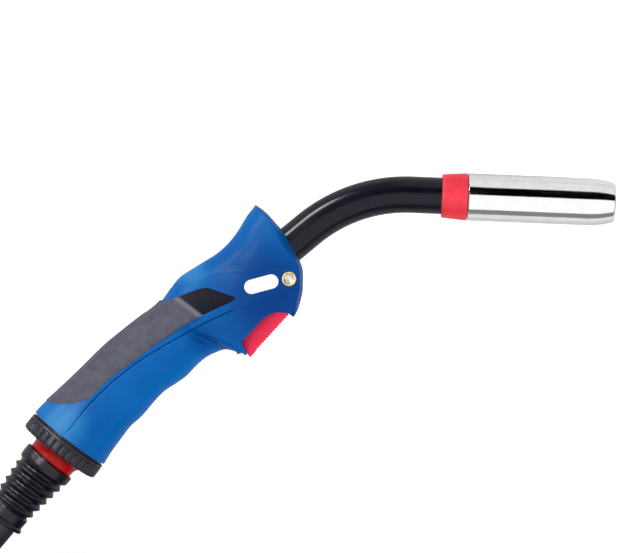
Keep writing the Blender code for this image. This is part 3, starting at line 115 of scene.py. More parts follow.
WHITE, BLACK = (1, 1, 1, 1), (0, 0, 0, 1)
table_finish, nodes, links, surface = new_material("pale_table_top")
set_sockets(surface, {
    "Base Color": (0.62, 0.62, 0.62, 1), "Roughness": 0.9, "Specular IOR Level": 0.1, "Emission Color": WHITE,
})
rays = nodes.new("ShaderNodeLightPath")
lift = node_of(nodes, "ShaderNodeMath", {1: 0.76}, operation="MULTIPLY")
links.new(rays.outputs["Is Camera Ray"], lift.inputs[0])
mirrored = node_of(nodes, "ShaderNodeMath", operation="MAXIMUM")
links.new(rays.outputs["Is Glossy Ray"], mirrored.inputs[0])
links.new(rays.outputs["Is Transmission Ray"], mirrored.inputs[1])
seen = node_of(nodes, "ShaderNodeMath", {1: 0.04}, operation="MULTIPLY_ADD")
links.new(mirrored.outputs[0], seen.inputs[0])
links.new(lift.outputs[0], seen.inputs[2])
links.new(seen.outputs[0], surface.inputs["Emission Strength"])
table.data.materials.append(table_finish)

world = bpy.data.worlds.new("studio")
bpy.context.scene.world = world
world.use_nodes = True
nodes, links = world.node_tree.nodes, world.node_tree.links
sky = nodes["Background"]
sky.inputs["Color"].default_value = WHITE
rays = nodes.new("ShaderNodeLightPath")
level = node_of(nodes, "ShaderNodeMapRange", {"To Min": 0.24, "To Max": 1.0})
links.new(rays.outputs["Is Camera Ray"], level.inputs["Value"])
links.new(level.outputs["Result"], sky.inputs["Strength"])


def soft_box(name, place, width, height, power, target=(0, 0, 0)):
    bpy.ops.object.light_add(type="AREA", location=MIDDLE + Vector(place))
    lamp = bpy.context.object
    lamp.name = name
    lamp.data.shape = "RECTANGLE"
    lamp.data.size, lamp.data.size_y = width, height
    lamp.data.energy = power
    lamp.rotation_euler = (Vector(target) - Vector(place)).to_track_quat("-Z", "Y").to_euler()
    lamp.visible_camera = False
    return lamp


soft_box("guard_side_box", (-0.98, 1.18, 0.62), 0.9, 0.28, 24)
overhead_box = soft_box("overhead_box", (-0.4, -1.06, 1.25), 1.6, 2.7, 15, target=(-0.4, -1.0601, 0))
overhead_box.visible_glossy = False
trigger_side_box = soft_box("trigger_side_box", (1.0, -0.6, 0.6), 0.8, 0.5, 13)
trigger_side_box.visible_glossy = False


def mirror_card(name, low, high, brightness):
    """A card between two corners, level or upright, that only mirrors show."""
    bpy.ops.mesh.primitive_plane_add(size=1)
    card = bpy.context.object
    card.name = name
    upright = low[1] == high[1]
    for vertex in card.data.vertices:
        across = high[0] if vertex.co.x > 0 else low[0]
        along = (high if vertex.co.y > 0 else low)[2 if upright else 1]
        vertex.co = MIDDLE + Vector((across, low[1], along) if upright else (across, along, low[2]))
    card.visible_camera = card.visible_diffuse = card.visible_shadow = False
    card.visible_transmission = False
    face, _, _, shader = new_material(f"{name}_face")
    set_sockets(shader, {
        "Base Color": BLACK, "Specular IOR Level": 0, "Emission Color": WHITE,
        "Emission Strength": brightness,
    })
    card.data.materials.append(face)


mirror_card("black_strip", (-0.02, 0.22, 1.0), (2.5, 1.15, 1.0), 0)
mirror_card("pale_wall", (0.0, 1.3, -0.02), (2.5, 1.3, 1.06), 0.85)
mirror_card("pale_ceiling", (-0.6, -2.4, 1.25), (2.8, 0.285, 1.25), 1.12)
mirror_card("rear_glint", (-0.37, 0.02, 0.35), (-0.2, 0.18, 0.35), 24)

# ---- Hose --------------------------------------------------------------------------------
# A coaxial power and gas hose 20 mm across, in one smooth black rubber cover over its copper
# strands. It leaves the ball joint, runs down to the table, and goes into a coil of four strands.

HOSE_RADIUS, HOSE_PLAY = 10 * MM, 0.2 * MM
BALL = Vector((MIDDLE.x - 131.5 * MM, MIDDLE.y - 88.4 * MM, MIDDLE.z))
HANDLE_AXIS = math.radians(52.5)
HOSE_AXIS = math.radians(49.7)


def placed(x, y, z):
    return Vector((MIDDLE.x + x * MM, MIDDLE.y + y * MM, z * MM))


def even_route(points, spacing):
    """Evenly spaced points on a smooth curve through a route's own points."""
    way = [2 * points[0] - points[1], *points, 2 * points[-1] - points[-2]]
    fine = []
    for before, start, end, after in zip(way, way[1:], way[2:], way[3:]):
        for k in range(16):
            t = k / 16
            fine.append(0.5 * (
                2 * start + (end - before) * t
                + (2 * before - 5 * start + 4 * end - after) * t ** 2
                + (3 * start - before - 3 * end + after) * t ** 3
            ))
    fine.append(way[-2])
    walked = [0.0]
    for start, end in zip(fine, fine[1:]):
        walked.append(walked[-1] + (end - start).length)
    count = round(walked[-1] / spacing) + 1
    even, step = [], 1
    for k in range(count):
        wanted = walked[-1] * k / (count - 1)
        while step < len(fine) - 1 and walked[step] < wanted:
            step += 1
        share = (wanted - walked[step - 1]) / (walked[step] - walked[step - 1])
        even.append(fine[step - 1].lerp(fine[step], share))
    return even, walked[-1]


def take(piece):
    """Makes one object the selected and active one."""
    bpy.ops.object.select_all(action="DESELECT")
    piece.select_set(True)
    bpy.context.view_layer.objects.active = piece


def linked(name, data):
    """A new object in the scene."""
    piece = bpy.data.objects.new(name, data)
    bpy.context.collection.objects.link(piece)
    return piece


def hose_along(name, points, radius, sides=6):
    """A round hose with closed ends, as a mesh."""
    line = bpy.data.curves.new(name, "CURVE")
    line.dimensions = "3D"
    line.bevel_depth = radius
    line.bevel_resolution = sides
    line.use_fill_caps = True
    spline = line.splines.new("POLY")
    spline.points.add(len(points) - 1)
    for knot, place in zip(spline.points, points):
        knot.co = (*place, 1)
    hose = linked(name, line)
    take(hose)
    bpy.ops.object.convert(target="MESH")
    bpy.ops.object.mode_set(mode="EDIT")
    bpy.ops.mesh.select_all(action="SELECT")
    bpy.ops.mesh.remove_doubles(threshold=1e-6)
    bpy.ops.mesh.normals_make_consistent(inside=False)
    bpy.ops.object.mode_set(mode="OBJECT")
    bpy.ops.object.shade_smooth_by_angle(angle=math.radians(40))
    bpy.ops.object.select_all(action="DESELECT")
    return hose


back = Vector((-math.cos(HOSE_AXIS), -math.sin(HOSE_AXIS), 0))
lead_route = [placed(-77.0, -36.7, 23.35), placed(-91.6, -47.5, 23.35), placed(-110.2, -64.4, 23.35)]
lead_route += [BALL + back * reach * MM for reach in (0, 24, 46)]
lead_points, _ = even_route(lead_route, 6 * MM)
lead = hose_along("hose_in_handle", lead_points, HOSE_RADIUS - HOSE_PLAY)
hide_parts("hose_lead")
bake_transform(lead)

run_route = [BALL + back * reach * MM for reach in (40, 50)]
run_route += [placed(*point) for point in (
    (-177.6, -142.8, 22.9), (-187.3, -154.2, 20.3), (-197.0, -165.7, 16.0), (-205.6, -176.2, 12.8),
    (-211.2, -185.1, 11.0), (-216.0, -195.4, 10.3), (-220.2, -208.0, 10.2), (-222.9, -221.0, 10.5),
    (-223.7, -235.0, 10.9), (-223.7, -250.0, 11.3), (-223.7, -265.0, 11.5), (-223.7, -275.3, 11.5),
    (-223.2, -285.0, 11.5),
)]
run_points, run_length = even_route(run_route, 5 * MM)
run = hose_along("hose_run_to_coil", run_points, HOSE_RADIUS)
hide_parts("hose_run")
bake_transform(run)

COIL = placed(-113.7, -275.3, 0)
LOW_LAYER, HIGH_LAYER = 11.5 * MM, 31.5 * MM
OUTER, INNER = 110 * MM, 90 * MM


def eased(value, start, end):
    t = min(1.0, max(0.0, (value - start) / (end - start)))
    return t * t * (3 - 2 * t)


coil_points = []
for bearing in range(185, 1346, 4):
    radius = OUTER - (OUTER - INNER) * (eased(bearing, 450, 525) - eased(bearing, 1070, 1145))
    height = LOW_LAYER + (HIGH_LAYER - LOW_LAYER) * eased(bearing, 760, 835)
    turn = math.radians(bearing)
    coil_points.append(COIL + Vector((radius * math.cos(turn), radius * math.sin(turn), height)))
tail_route = [COIL + Vector((0, -OUTER, HIGH_LAYER))]
tail_route += [placed(*point) for point in (
    (-92.0, -385.3, 29.4), (-68.0, -385.6, 22.4), (-43.9, -385.0, 15.8), (-19.5, -379.3, 11.8),
    (3.7, -367.2, 10.4), (22.9, -349.6, 11.0), (37.4, -327.6, 16.0), (44.8, -307.0, 22.4),
    (46.3, -291.0, 24.8), (46.3, -278.0, 25.0), (46.3, -250.0, 25.0), (46.3, -223.0, 25.0),
)]
coil_points, coil_length = even_route(coil_points + tail_route, 6 * MM)
coil = hose_along("hose_coil_and_tail", coil_points, HOSE_RADIUS)
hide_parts("hose_coil", "hose_tail")
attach(coil, "handle")

# ---- Handle shells -----------------------------------------------------------------------
# Two half shells moulded in blue glass-filled nylon with a fine satin grain, meeting at a seam in
# the middle of the handle. The front flares into a hand guard; a raised band runs along each side
# between a crease and a groove, and the shell sinks into a scoop over the trigger.

# Top and foot of each section of the form and half its width, from the rear face on (mm)
FORM = (
    (-148.9, -72.8, -111.9, -101.1, 23.3), (-143.6, -67.3, -108.8, -95.9, 22.4),
    (-138.3, -62.5, -105.1, -90.7, 21.5), (-133.0, -57.6, -101.5, -85.8, 20.7),
    (-127.6, -52.5, -97.5, -80.7, 20.0), (-122.3, -47.3, -92.6, -76.4, 19.4),
    (-116.9, -41.9, -88.6, -72.0, 19.0), (-111.3, -36.5, -84.0, -66.5, 18.7),
    (-105.0, -31.3, -79.0, -61.6, 18.5), (-98.5, -26.2, -73.5, -58.0, 18.5),
    (-91.8, -21.4, -67.8, -54.0, 18.5), (-86.4, -18.0, -62.4, -48.4, 18.7),
    (-81.4, -13.8, -57.2, -43.9, 18.9), (-76.4, -6.8, -51.8, -41.2, 19.1),
    (-71.0, -0.3, -46.6, -41.2, 19.4), (-64.4, 4.2, -41.0, -43.1, 19.8),
    (-57.5, 8.4, -36.2, -44.9, 20.0), (-51.5, 12.2, -31.5, -43.5, 20.1),
    (-45.5, 17.4, -27.0, -38.6, 20.1), (-40.0, 24.3, -21.5, -33.0, 20.0),
    (-34.8, 32.8, -15.5, -27.0, 19.8), (-30.2, 38.8, -8.0, -20.5, 19.5),
    (-26.0, 46.0, -2.0, -16.0, 19.1), (-22.0, 53.0, 4.0, -11.0, 18.6),
)
ROUNDING = 2.3
CREASE = (
    (-143.3, -77.0), (-133.3, -66.7), (-123.1, -56.7), (-112.7, -46.4), (-101.1, -35.8),
    (-88.2, -24.6), (-80.5, -12.9), (-77.3, -10.0), (-69.9, -6.6), (-59.9, -2.9), (-46.9, 0.8),
    (-35.7, 2.7), (-25.2, 3.9), (-7.2, 5.2), (3.0, 5.6),
)
GROOVE = (
    (-134.5, -89.0), (-129.9, -82.4), (-119.4, -69.3), (-107.2, -57.1), (-94.1, -46.7),
    (-81.9, -38.8), (-62.4, -27.7), (-50.0, -21.5), (-35.7, -15.3), (-25.2, -11.0), (-6.0, -6.9),
    (3.0, -5.4),
)
LOWER_LINE = (
    (-128.0, -95.0), (-118.0, -82.0), (-104.0, -67.0), (-88.0, -53.0), (-70.0, -41.0), (-52.0, -35.5),
    (-41.5, -34.6), (-37.5, -33.9), (-27.6, -24.4), (-22.8, -20.9), (-18.0, -18.8), (-11.9, -19.3),
    (-10.1, -21.0), (-8.0, -23.5),
)
RIM = (
    (-31.6, 41.0), (-30.2, 37.3), (-22.8, 30.0), (-19.8, 25.5), (-17.5, 20.2), (-14.5, 14.9),
    (-10.6, 10.7), (-8.2, 7.2), (-7.3, 2.0), (-7.1, -4.0), (-7.6, -8.6), (-8.9, -15.0),
    (-10.6, -20.4), (-12.5, -26.0),
)
FRONT = (
    (-30.2, 38.8), (-24.5, 34.6), (-18.6, 28.1), (-14.5, 23.6), (-10.5, 18.5), (-7.8, 13.6),
    (-5.9, 9.0), (-4.6, 2.4), (-4.6, -3.0), (-4.9, -8.6), (-7.0, -17.0), (-9.6, -21.9),
)
GUARD_STATION, LAST_STATION = 16.35, len(FORM) - 1.05
# Beside the trigger's foot the guard's lip is set back below a height, for the trigger's stroke; the
# walls of the trigger's slot end at its half height, and start at its front in plan
LIP_STATION, LIP_HEIGHT, SLOT_HEIGHT, SLOT_FRONT = 15.35, 7.9, 7.1, -17.2


def on_curve(rows, station):
    """The row of numbers at a place on a smooth curve through rows of numbers."""
    base = max(0, min(int(station), len(rows) - 2))
    t = station - base
    before = rows[base - 1] if base else [2 * a - b for a, b in zip(rows[0], rows[1])]
    start, end = rows[base], rows[base + 1]
    after = rows[base + 2] if base + 2 < len(rows) else [2 * a - b for a, b in zip(rows[-1], rows[-2])]
    return [0.5 * (2 * b + (c - a) * t + (2 * a - 5 * b + 4 * c - d) * t * t
                   + (3 * b - a - 3 * c + d) * t ** 3) for a, b, c, d in zip(before, start, end, after)]


def fine_curve(rows, steps=8):
    count = (len(rows) - 1) * steps
    return [tuple(on_curve(rows, k / steps)) for k in range(count + 1)]


CREASE_LINE, GROOVE_LINE, LOWER = fine_curve(CREASE), fine_curve(GROOVE), fine_curve(LOWER_LINE)
RIM_LINE, FRONT_LINE = fine_curve(RIM), fine_curve(FRONT)


def share_on_section(station, line):
    """Where a line crosses the section at a station, as a share of the way from top to foot."""
    top_x, top_y, foot_x, foot_y, _ = on_curve(FORM, station)
    along_x, along_y = foot_x - top_x, foot_y - top_y
    size = along_x ** 2 + along_y ** 2
    sides = [(x - top_x) * along_y - (y - top_y) * along_x for x, y in line]
    found = None
    for (x0, y0), (x1, y1), before, after in zip(line, line[1:], sides, sides[1:]):
        if before * after <= 0 and before != after:
            t = before / (before - after)
            x, y = x0 + (x1 - x0) * t, y0 + (y1 - y0) * t
            found = ((x - top_x) * along_x + (y - top_y) * along_y) / size
    if found is None:
        nearest = line[0] if abs(sides[0]) < abs(sides[-1]) else line[-1]
        found = ((nearest[0] - top_x) * along_x + (nearest[1] - top_y) * along_y) / size
    return min(0.995, max(0.0, found))


def angle_at(share):
    """The angle on a section's rounding, from 0 at the top to pi at the foot."""
    rise = 1 - 2 * share
    return math.acos(max(-1.0, min(1.0, math.copysign(abs(rise) ** (ROUNDING / 2), rise))))


def form_point(station, angle):
    """A place on the plain form, in mm from the middle of the torch's frame."""
    top_x, top_y, foot_x, foot_y, half_width = on_curve(FORM, station)
    rise, out = math.cos(angle), abs(math.sin(angle))
    share = (1 - math.copysign(abs(rise) ** (2 / ROUNDING), rise)) / 2
    return Vector((top_x + (foot_x - top_x) * share, top_y + (foot_y - top_y) * share,
                   half_width * out ** (2 / ROUNDING)))


def form_normal(station, angle):
    near, far = max(0.002, angle - 0.01), min(math.pi - 0.002, angle + 0.01)
    across = form_point(station, far) - form_point(station, near)
    along = form_point(station + 0.05, angle) - form_point(station - 0.05, angle)
    return along.cross(across).normalized() * -1


def signed_distance(place, line):
    """Distance in mm from a line in plan; positive towards the foot."""
    best = None
    for (x0, y0), (x1, y1) in zip(line, line[1:]):
        dx, dy = x1 - x0, y1 - y0
        t = max(0.0, min(1.0, ((place.x - x0) * dx + (place.y - y0) * dy) / (dx * dx + dy * dy)))
        ax, ay = place.x - x0 - dx * t, place.y - y0 - dy * t
        gap = math.hypot(ax, ay)
        if best is None or gap < best[0]:
            best = (gap, math.copysign(gap, dy * ax - dx * ay))
    return best[1]


LEDGE = ((-70.0, -27.0), (-63.8, -29.8), (-56.5, -33.2), (-46.9, -38.0), (-37.3, -42.3), (-33.0, -44.5))


def relief(place):
    """How far the moulding stands over the plain form, in mm."""
    under_crease = signed_distance(place, CREASE_LINE)
    under_groove = signed_distance(place, GROOVE_LINE)
    front = eased(place.x, -80, -58)
    height = 0.28 * front * eased(under_crease, -0.35, 0.25) * (1 - eased(under_groove, -0.2, 1.6))
    height += 0.3 * front * math.exp(-(under_crease / 0.42) ** 2)
    height -= 0.22 * front * math.exp(-((under_crease + 1.0) / 0.5) ** 2)
    along = eased(place.x, -46, -34)
    start = eased(place.x, -133, -128)
    height -= 0.85 * start * (1 - along) * math.exp(-(under_groove / 0.3) ** 2)
    height += 0.26 * along * math.exp(-(under_groove / 0.42) ** 2)
    scoop = math.exp(-((place.x + 23.0) / 9.5) ** 2) * eased(under_groove, 0.3, 4.5)
    boss = math.exp(-((place.x + 14.5) ** 2 + (place.y + 17.0) ** 2) / 5.0 ** 2)
    height -= 2.0 * scoop * (1 - 0.85 * boss)
    under_ledge = signed_distance(place, LEDGE)
    reach = eased(place.x, -72, -58) * (1 - eased(place.x, -38, -33))
    height += 1.3 * reach * math.exp(-((under_ledge + 3.2) / 2.6) ** 2)
    height -= 2.6 * reach * math.exp(-((under_ledge - 1.6) / 2.0) ** 2)
    return height


def body_point(station, angle, lift=0.0):
    place = form_point(station, angle)
    return place + form_normal(station, angle) * (relief(place) + lift)


def rows_at(station):
    """Angles of the rows of points on a section, close together along the crease and the groove."""
    crease = angle_at(share_on_section(station, CREASE_LINE))
    groove = max(crease + 0.12, angle_at(share_on_section(station, GROOVE_LINE)))
    lower = max(groove + 0.1, angle_at(share_on_section(station, LOWER)))

    def turn(angle, gap):
        step = (form_point(station, angle + 0.01) - form_point(station, angle - 0.01)).length
        return gap * 0.02 / max(step, 1e-4)

    angles = [crease * k / 11 for k in range(10)]
    angles += [crease + turn(crease, g) for g in (-0.9, -0.4, 0.0, 0.4, 0.9)]
    start, end = angles[-1], groove - turn(groove, 0.9)
    angles += [start + (end - start) * k / 13 for k in range(1, 13)]
    angles += [groove + turn(groove, g) for g in (-0.9, -0.45, -0.2, 0.0, 0.2, 0.45, 0.9)]
    start = angles[-1]
    angles += [start + (lower - start) * k / 12 for k in range(1, 13)]
    return angles, [lower + (math.pi - lower) * k / 12 for k in range(1, 13)]


def station_where(passed, low=0.0):
    """The first station, from a low one on, at which a test holds."""
    high = LAST_STATION
    for _ in range(30):
        middle = (low + high) / 2
        if passed(middle):
            high = middle
        else:
            low = middle
    return (low + high) / 2


def front_station(row):
    """The station at which a row meets the rim of the front face."""
    return station_where(lambda station: signed_distance(
        form_point(station, rows_at(station)[0][row]), RIM_LINE) < 0, GUARD_STATION)


def join_rows(shape, rows):
    """Faces between neighbouring rows of points."""
    for left, right in zip(rows, rows[1:]):
        for a, b, c, d in zip(left, left[1:], right[1:], right):
            if len({a, b, c, d}) == 4:
                shape.faces.new((a, b, c, d))


def skin_of(shape, name, merge_gap):
    """The mesh of a grid in mm, merged and facing out, in its place on the torch."""
    bmesh.ops.remove_doubles(shape, verts=shape.verts, dist=merge_gap)
    bmesh.ops.recalc_face_normals(shape, faces=shape.faces)
    mesh = bpy.data.meshes.new(name)
    shape.to_mesh(mesh)
    shape.free()
    if max(mesh.polygons, key=lambda face: face.center.z).normal.z < 0:
        mesh.flip_normals()
    mesh.transform(Matrix.Translation(MIDDLE) @ Matrix.Scale(MM, 4))
    return mesh


def shell_mesh():
    """Grid of the half shell's outer face, and the walls of its front and of the trigger's window."""
    columns = [GUARD_STATION * (k / 132) for k in range(133)]
    grid = []
    for station in columns:
        upper, below = rows_at(station)
        column = [body_point(station, angle) for angle in upper + below]
        if station > LIP_STATION:
            set_back = [body_point(LIP_STATION, angle) for row in rows_at(LIP_STATION) for angle in row]
            column = [back if place.z < LIP_HEIGHT else place for place, back in zip(column, set_back)]
        grid.append(column)
    wide = len(rows_at(0)[0])
    ends = [front_station(row) for row in range(wide)]
    front = []
    for k in range(1, 41):
        share = k / 40
        column = []
        for row, end in enumerate(ends):
            station = GUARD_STATION + (end - GUARD_STATION) * share
            column.append(body_point(station, rows_at(station)[0][row]))
        front.append(column)

    shape = bmesh.new()

    def vertex(place):
        return shape.verts.new((place.x, place.y, max(place.z, 0.1)))

    made = [[vertex(place) for place in column] for column in grid]
    made_front = [made[-1][:wide]] + [[vertex(place) for place in column] for column in front]
    join_rows(shape, made)
    join_rows(shape, made_front)

    # The edge that the walls hang from: front rim from the top down, window, and the guard's lip
    edge = made_front[-1] + [column[wide - 1] for column in reversed(made_front[:-1])] + made[-1][wide:]
    spots = [v.co.copy() for v in edge]
    outward = []
    for k, spot in enumerate(spots):
        before, after = spots[max(0, k - 1)], spots[min(len(spots) - 1, k + 1)]
        line = after - before
        outward.append(Vector((-line.y, line.x, 0)).normalized())
    for _ in range(3):
        outward = [(outward[max(0, k - 1)] + n * 2 + outward[min(len(outward) - 1, k + 1)]).normalized()
                   for k, n in enumerate(outward)]
    walked = [0.0]
    for a, b in zip(spots[:wide], spots[1:wide]):
        walked.append(walked[-1] + math.hypot(a.x - b.x, a.y - b.y))
    rings = [edge]
    for depth, reach in ((0.12, 0.42), (0.4, 0.7), (0.8, 0.8)):
        ring = []
        for n, (spot, side) in enumerate(zip(spots, outward)):
            down = min(depth, max(0.0, spot.z - 0.1))
            out = 0 if n >= wide and spot.z < LIP_HEIGHT + 0.6 else reach * min(1, spot.z / 2)
            ring.append(vertex(Vector((spot.x, spot.y, spot.z - down)) + side * out))
        rings.append(ring)
    for k in range(1, 13):
        share = k / 12
        ring = []
        for n, (spot, last) in enumerate(zip(spots, rings[3])):
            floor = SLOT_HEIGHT if n >= wide or spot.y < SLOT_FRONT else 0.1
            drop = max(0.0, last.co.z - floor) * share
            place = Vector((last.co.x, last.co.y, last.co.z - drop))
            if n < wide:
                target = Vector((*on_curve(FRONT_LINE, (len(FRONT_LINE) - 1) * walked[n] / walked[-1]), 0))
                swell = 1 - (1 - share) ** 2
                place.x += (target.x - place.x) * swell
                place.y += (target.y - place.y) * swell
            ring.append(vertex(place))
        rings.append(ring)
    join_rows(shape, rings)
    return skin_of(shape, "half_shell", 0.004)


def grain_group():
    """Fine spark-eroded grain and faint clouding of a moulding, in metres on the piece itself."""
    group = bpy.data.node_groups.new("moulded_grain", "ShaderNodeTree")
    for socket, low in (("Grain Size", 0.0006), ("Cloud Size", 0.03), ("Roughness", 0.45), ("Spread", 0.1)):
        made = group.interface.new_socket(socket, in_out="INPUT", socket_type="NodeSocketFloat")
        made.default_value = low
    for socket in ("Cloud", "Roughness", "Height"):
        group.interface.new_socket(socket, in_out="OUTPUT", socket_type="NodeSocketFloat")
    given = group.nodes.new("NodeGroupInput")
    result = group.nodes.new("NodeGroupOutput")
    where = group.nodes.new("ShaderNodeTexCoord")
    for socket, size in (("Height", "Grain Size"), ("Cloud", "Cloud Size")):
        scale = node_of(group.nodes, "ShaderNodeMath", {0: 1}, operation="DIVIDE")
        group.links.new(given.outputs[size], scale.inputs[1])
        pattern = node_of(group.nodes, "ShaderNodeTexNoise", {"Detail": 3, "Roughness": 0.6})
        group.links.new(where.outputs["Object"], pattern.inputs["Vector"])
        group.links.new(scale.outputs[0], pattern.inputs["Scale"])
        group.links.new(pattern.outputs["Fac"], result.inputs[socket])
    spread = node_of(group.nodes, "ShaderNodeMath", operation="MULTIPLY_ADD")
    group.links.new(pattern.outputs["Fac"], spread.inputs[0])
    group.links.new(given.outputs["Spread"], spread.inputs[1])
    group.links.new(given.outputs["Roughness"], spread.inputs[2])
    group.links.new(spread.outputs[0], result.inputs["Roughness"])
    return group


MOULDED_GRAIN = grain_group()


def moulded(name, dark, light, roughness, grain=0.6, relief_height=0.05, cloud=30, gloss=0.3):
    """A moulded plastic or rubber of two close colours; grain and cloud in mm."""
    made, nodes, links, surface = new_material(name)
    set_sockets(surface, {"Specular IOR Level": gloss})
    pattern = node_of(nodes, "ShaderNodeGroup", node_tree=MOULDED_GRAIN)
    set_sockets(pattern, {
        "Grain Size": grain * MM, "Cloud Size": cloud * MM, "Roughness": roughness - 0.06, "Spread": 0.12,
    })
    colours = nodes.new("ShaderNodeValToRGB")
    for element, position, colour in zip(colours.color_ramp.elements, (0.35, 0.65), (dark, light)):
        element.position, element.color = position, (*colour, 1)
    links.new(pattern.outputs["Cloud"], colours.inputs["Fac"])
    links.new(colours.outputs["Color"], surface.inputs["Base Color"])
    links.new(pattern.outputs["Roughness"], surface.inputs["Roughness"])
    bump = node_of(nodes, "ShaderNodeBump", {"Distance": relief_height * MM, "Strength": 1})
    links.new(pattern.outputs["Height"], bump.inputs["Height"])
    links.new(bump.outputs["Normal"], surface.inputs["Normal"])
    return made, nodes, links, surface


def toned(nodes, links, colour, mask, tone):
    """A colour mixed with another one where a mask is light."""
    tint = node_of(nodes, "ShaderNodeMix", data_type="RGBA")
    tint.inputs["B"].default_value = (*tone, 1)
    links.new(mask, tint.inputs["Factor"])
    links.new(colour, tint.inputs["A"])
    return tint.outputs["Result"]


# The blue carries painted shade in the hollows of the front and under the ledge, and painted
# highlights at the heel and the shoulder: place from MIDDLE in mm, reach of the full tone and of its end,
# share, colour
PAINTED_SHADE_BLUE, PAINTED_HIGHLIGHT_BLUE = (0.002, 0.038, 0.2), (0.045, 0.26, 0.56)
PAINTED_LIGHT_TONES = (
    ((-22, -9), (9, 43), 0.88, PAINTED_SHADE_BLUE),
    ((-58, -33), (2, 14), 0.65, PAINTED_SHADE_BLUE),
    ((-133, -78), (2, 18), 0.6, PAINTED_HIGHLIGHT_BLUE),
    ((-65, 3), (1, 12), 0.55, PAINTED_HIGHLIGHT_BLUE),
)
blue_nylon, nodes, links, surface = moulded(
    "blue_nylon", (0.0004, 0.095, 0.35), (0.0008, 0.115, 0.395), 0.36, gloss=0.06)
where = nodes.new("ShaderNodeTexCoord")
in_plan = node_of(nodes, "ShaderNodeVectorMath", {1: (1, 1, 0)}, operation="MULTIPLY")
links.new(where.outputs["Object"], in_plan.inputs[0])
blue = surface.inputs["Base Color"].links[0].from_socket
# Each pass paints shade or a highlight into the blue around one place, standing in for light
for (x, y), (near, far), share, tone in PAINTED_LIGHT_TONES:
    centre = (MIDDLE.x + x * MM, MIDDLE.y + y * MM, 0)
    away = node_of(nodes, "ShaderNodeVectorMath", {1: centre}, operation="DISTANCE")
    links.new(in_plan.outputs["Vector"], away.inputs[0])
    spread = node_of(nodes, "ShaderNodeMapRange", {
        "From Min": near * MM, "From Max": far * MM, "To Min": share, "To Max": 0,
    }, interpolation_type="SMOOTHSTEP")
    links.new(away.outputs["Value"], spread.inputs["Value"])
    blue = toned(nodes, links, blue, spread.outputs["Result"], tone)
links.new(blue, surface.inputs["Base Color"])


def cut_away(piece, cutter):
    """Takes a closed cutter's room out of a piece."""
    take(piece)
    room = piece.modifiers.new("room", "BOOLEAN")
    room.operation = "DIFFERENCE"
    room.solver = "EXACT"
    room.object = cutter
    bpy.ops.object.modifier_apply(modifier=room.name)
    bpy.data.objects.remove(cutter)


def round_cutter(place, direction, radius, length, sides=48):
    """A round bar from a place, along a direction."""
    bpy.ops.object.select_all(action="DESELECT")
    bpy.ops.mesh.primitive_cylinder_add(vertices=sides, radius=radius, depth=length)
    bar = bpy.context.object
    turn = Vector(direction).to_track_quat("Z", "Y").to_matrix().to_4x4()
    bar.data.transform(Matrix.Translation(place) @ turn @ Matrix.Translation((0, 0, length / 2)))
    return bar


def fitted(piece, finish, body, *cad_nodes, angle=38):
    """Gives a finished piece its smooth shading and material, and its place in the frame."""
    take(piece)
    bpy.ops.object.shade_smooth_by_angle(angle=math.radians(angle))
    piece.data.materials.clear()
    piece.data.materials.append(finish)
    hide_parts(*cad_nodes)
    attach(piece, body)


def mirrored_twin(piece, name):
    """The far side's copy of a near piece, mirrored in the middle plane of the torch."""
    twin = linked(name, piece.data.copy())
    twin.data.transform(Matrix.Translation(MIDDLE) @ Matrix.Scale(-1, 4, UP) @ Matrix.Translation(-MIDDLE))
    twin.data.flip_normals()
    return twin


NECK_HEADING = math.radians(39.5)
NECK_START = MIDDLE + Vector((-1.5 * MM, 25.5 * MM, 0))
ahead = Vector((math.cos(NECK_HEADING), math.sin(NECK_HEADING), 0))
SCREW = Vector((screw_place.x, screw_place.y, MIDDLE.z))
UP = Vector((0, 0, 1))


def walled(piece, thickness, offset=-1):
    """Gives a skin its wall, in mm; an offset of -1 keeps the skin outside."""
    take(piece)
    wall = piece.modifiers.new("wall", "SOLIDIFY")
    wall.thickness = thickness * MM
    wall.offset = offset
    bpy.ops.object.modifier_apply(modifier=wall.name)


right_shell = linked("half_shell_near", shell_mesh())
walled(right_shell, 1.8)
cut_away(right_shell, round_cutter(NECK_START - ahead * 24 * MM, ahead, 10.2 * MM, 26 * MM, 64))
left_shell = mirrored_twin(right_shell, "half_shell_far")
cut_away(right_shell, round_cutter(SCREW + UP * 6 * MM, UP, 3.75 * MM, 30 * MM))
cut_away(left_shell, round_cutter(SCREW - UP * 6 * MM, -UP, 3.6 * MM, 30 * MM, 6))
fitted(right_shell, blue_nylon, "handle", "handle_shell_right")
fitted(left_shell, blue_nylon, "handle", "handle_shell_left")

# The hose's cover: extruded black rubber with a faint grain and clouding
hose_rubber, *_ = moulded("hose_rubber", (0.012, 0.0115, 0.017), (0.022, 0.021, 0.029), 0.46,
                          grain=1.2, relief_height=0.08, cloud=12, gloss=0.4)
for piece in (lead, run, coil):
    piece.data.materials.clear()
    piece.data.materials.append(hose_rubber)

# ---- Grip pads ---------------------------------------------------------------------------
# Soft thermoplastic rubber, moulded onto each half shell over the back of the hand and ending in
# an arrow. The palm stretch stands proud of the arrow, and its edges are rolled into the shell.

PAD_LOWER = (
    (-143.9, -66.6), (-142.6, -67.2), (-139.0, -68.1), (-135.1, -68.5), (-127.7, -67.8), (-119.4, -65.8),
    (-115.9, -63.2), (-107.2, -54.5), (-94.1, -44.9), (-81.9, -35.8), (-66.7, -25.5), (-57.5, -20.6),
    (-52.5, -18.1), (-43.5, -14.0), (-40.9, -12.2), (-40.6, -11.2),
)
PAD_UPPER = (
    (-84.0, -10.5), (-80.2, -12.9), (-78.5, -13.1), (-74.8, -11.9), (-66.5, -8.8), (-59.9, -6.6),
    (-56.8, -6.0), (-53.8, -6.4), (-42.6, -10.2), (-41.2, -10.7), (-40.6, -11.2),
)
PALM_END = ((-68.6, -12.8), (-58.1, -20.8))


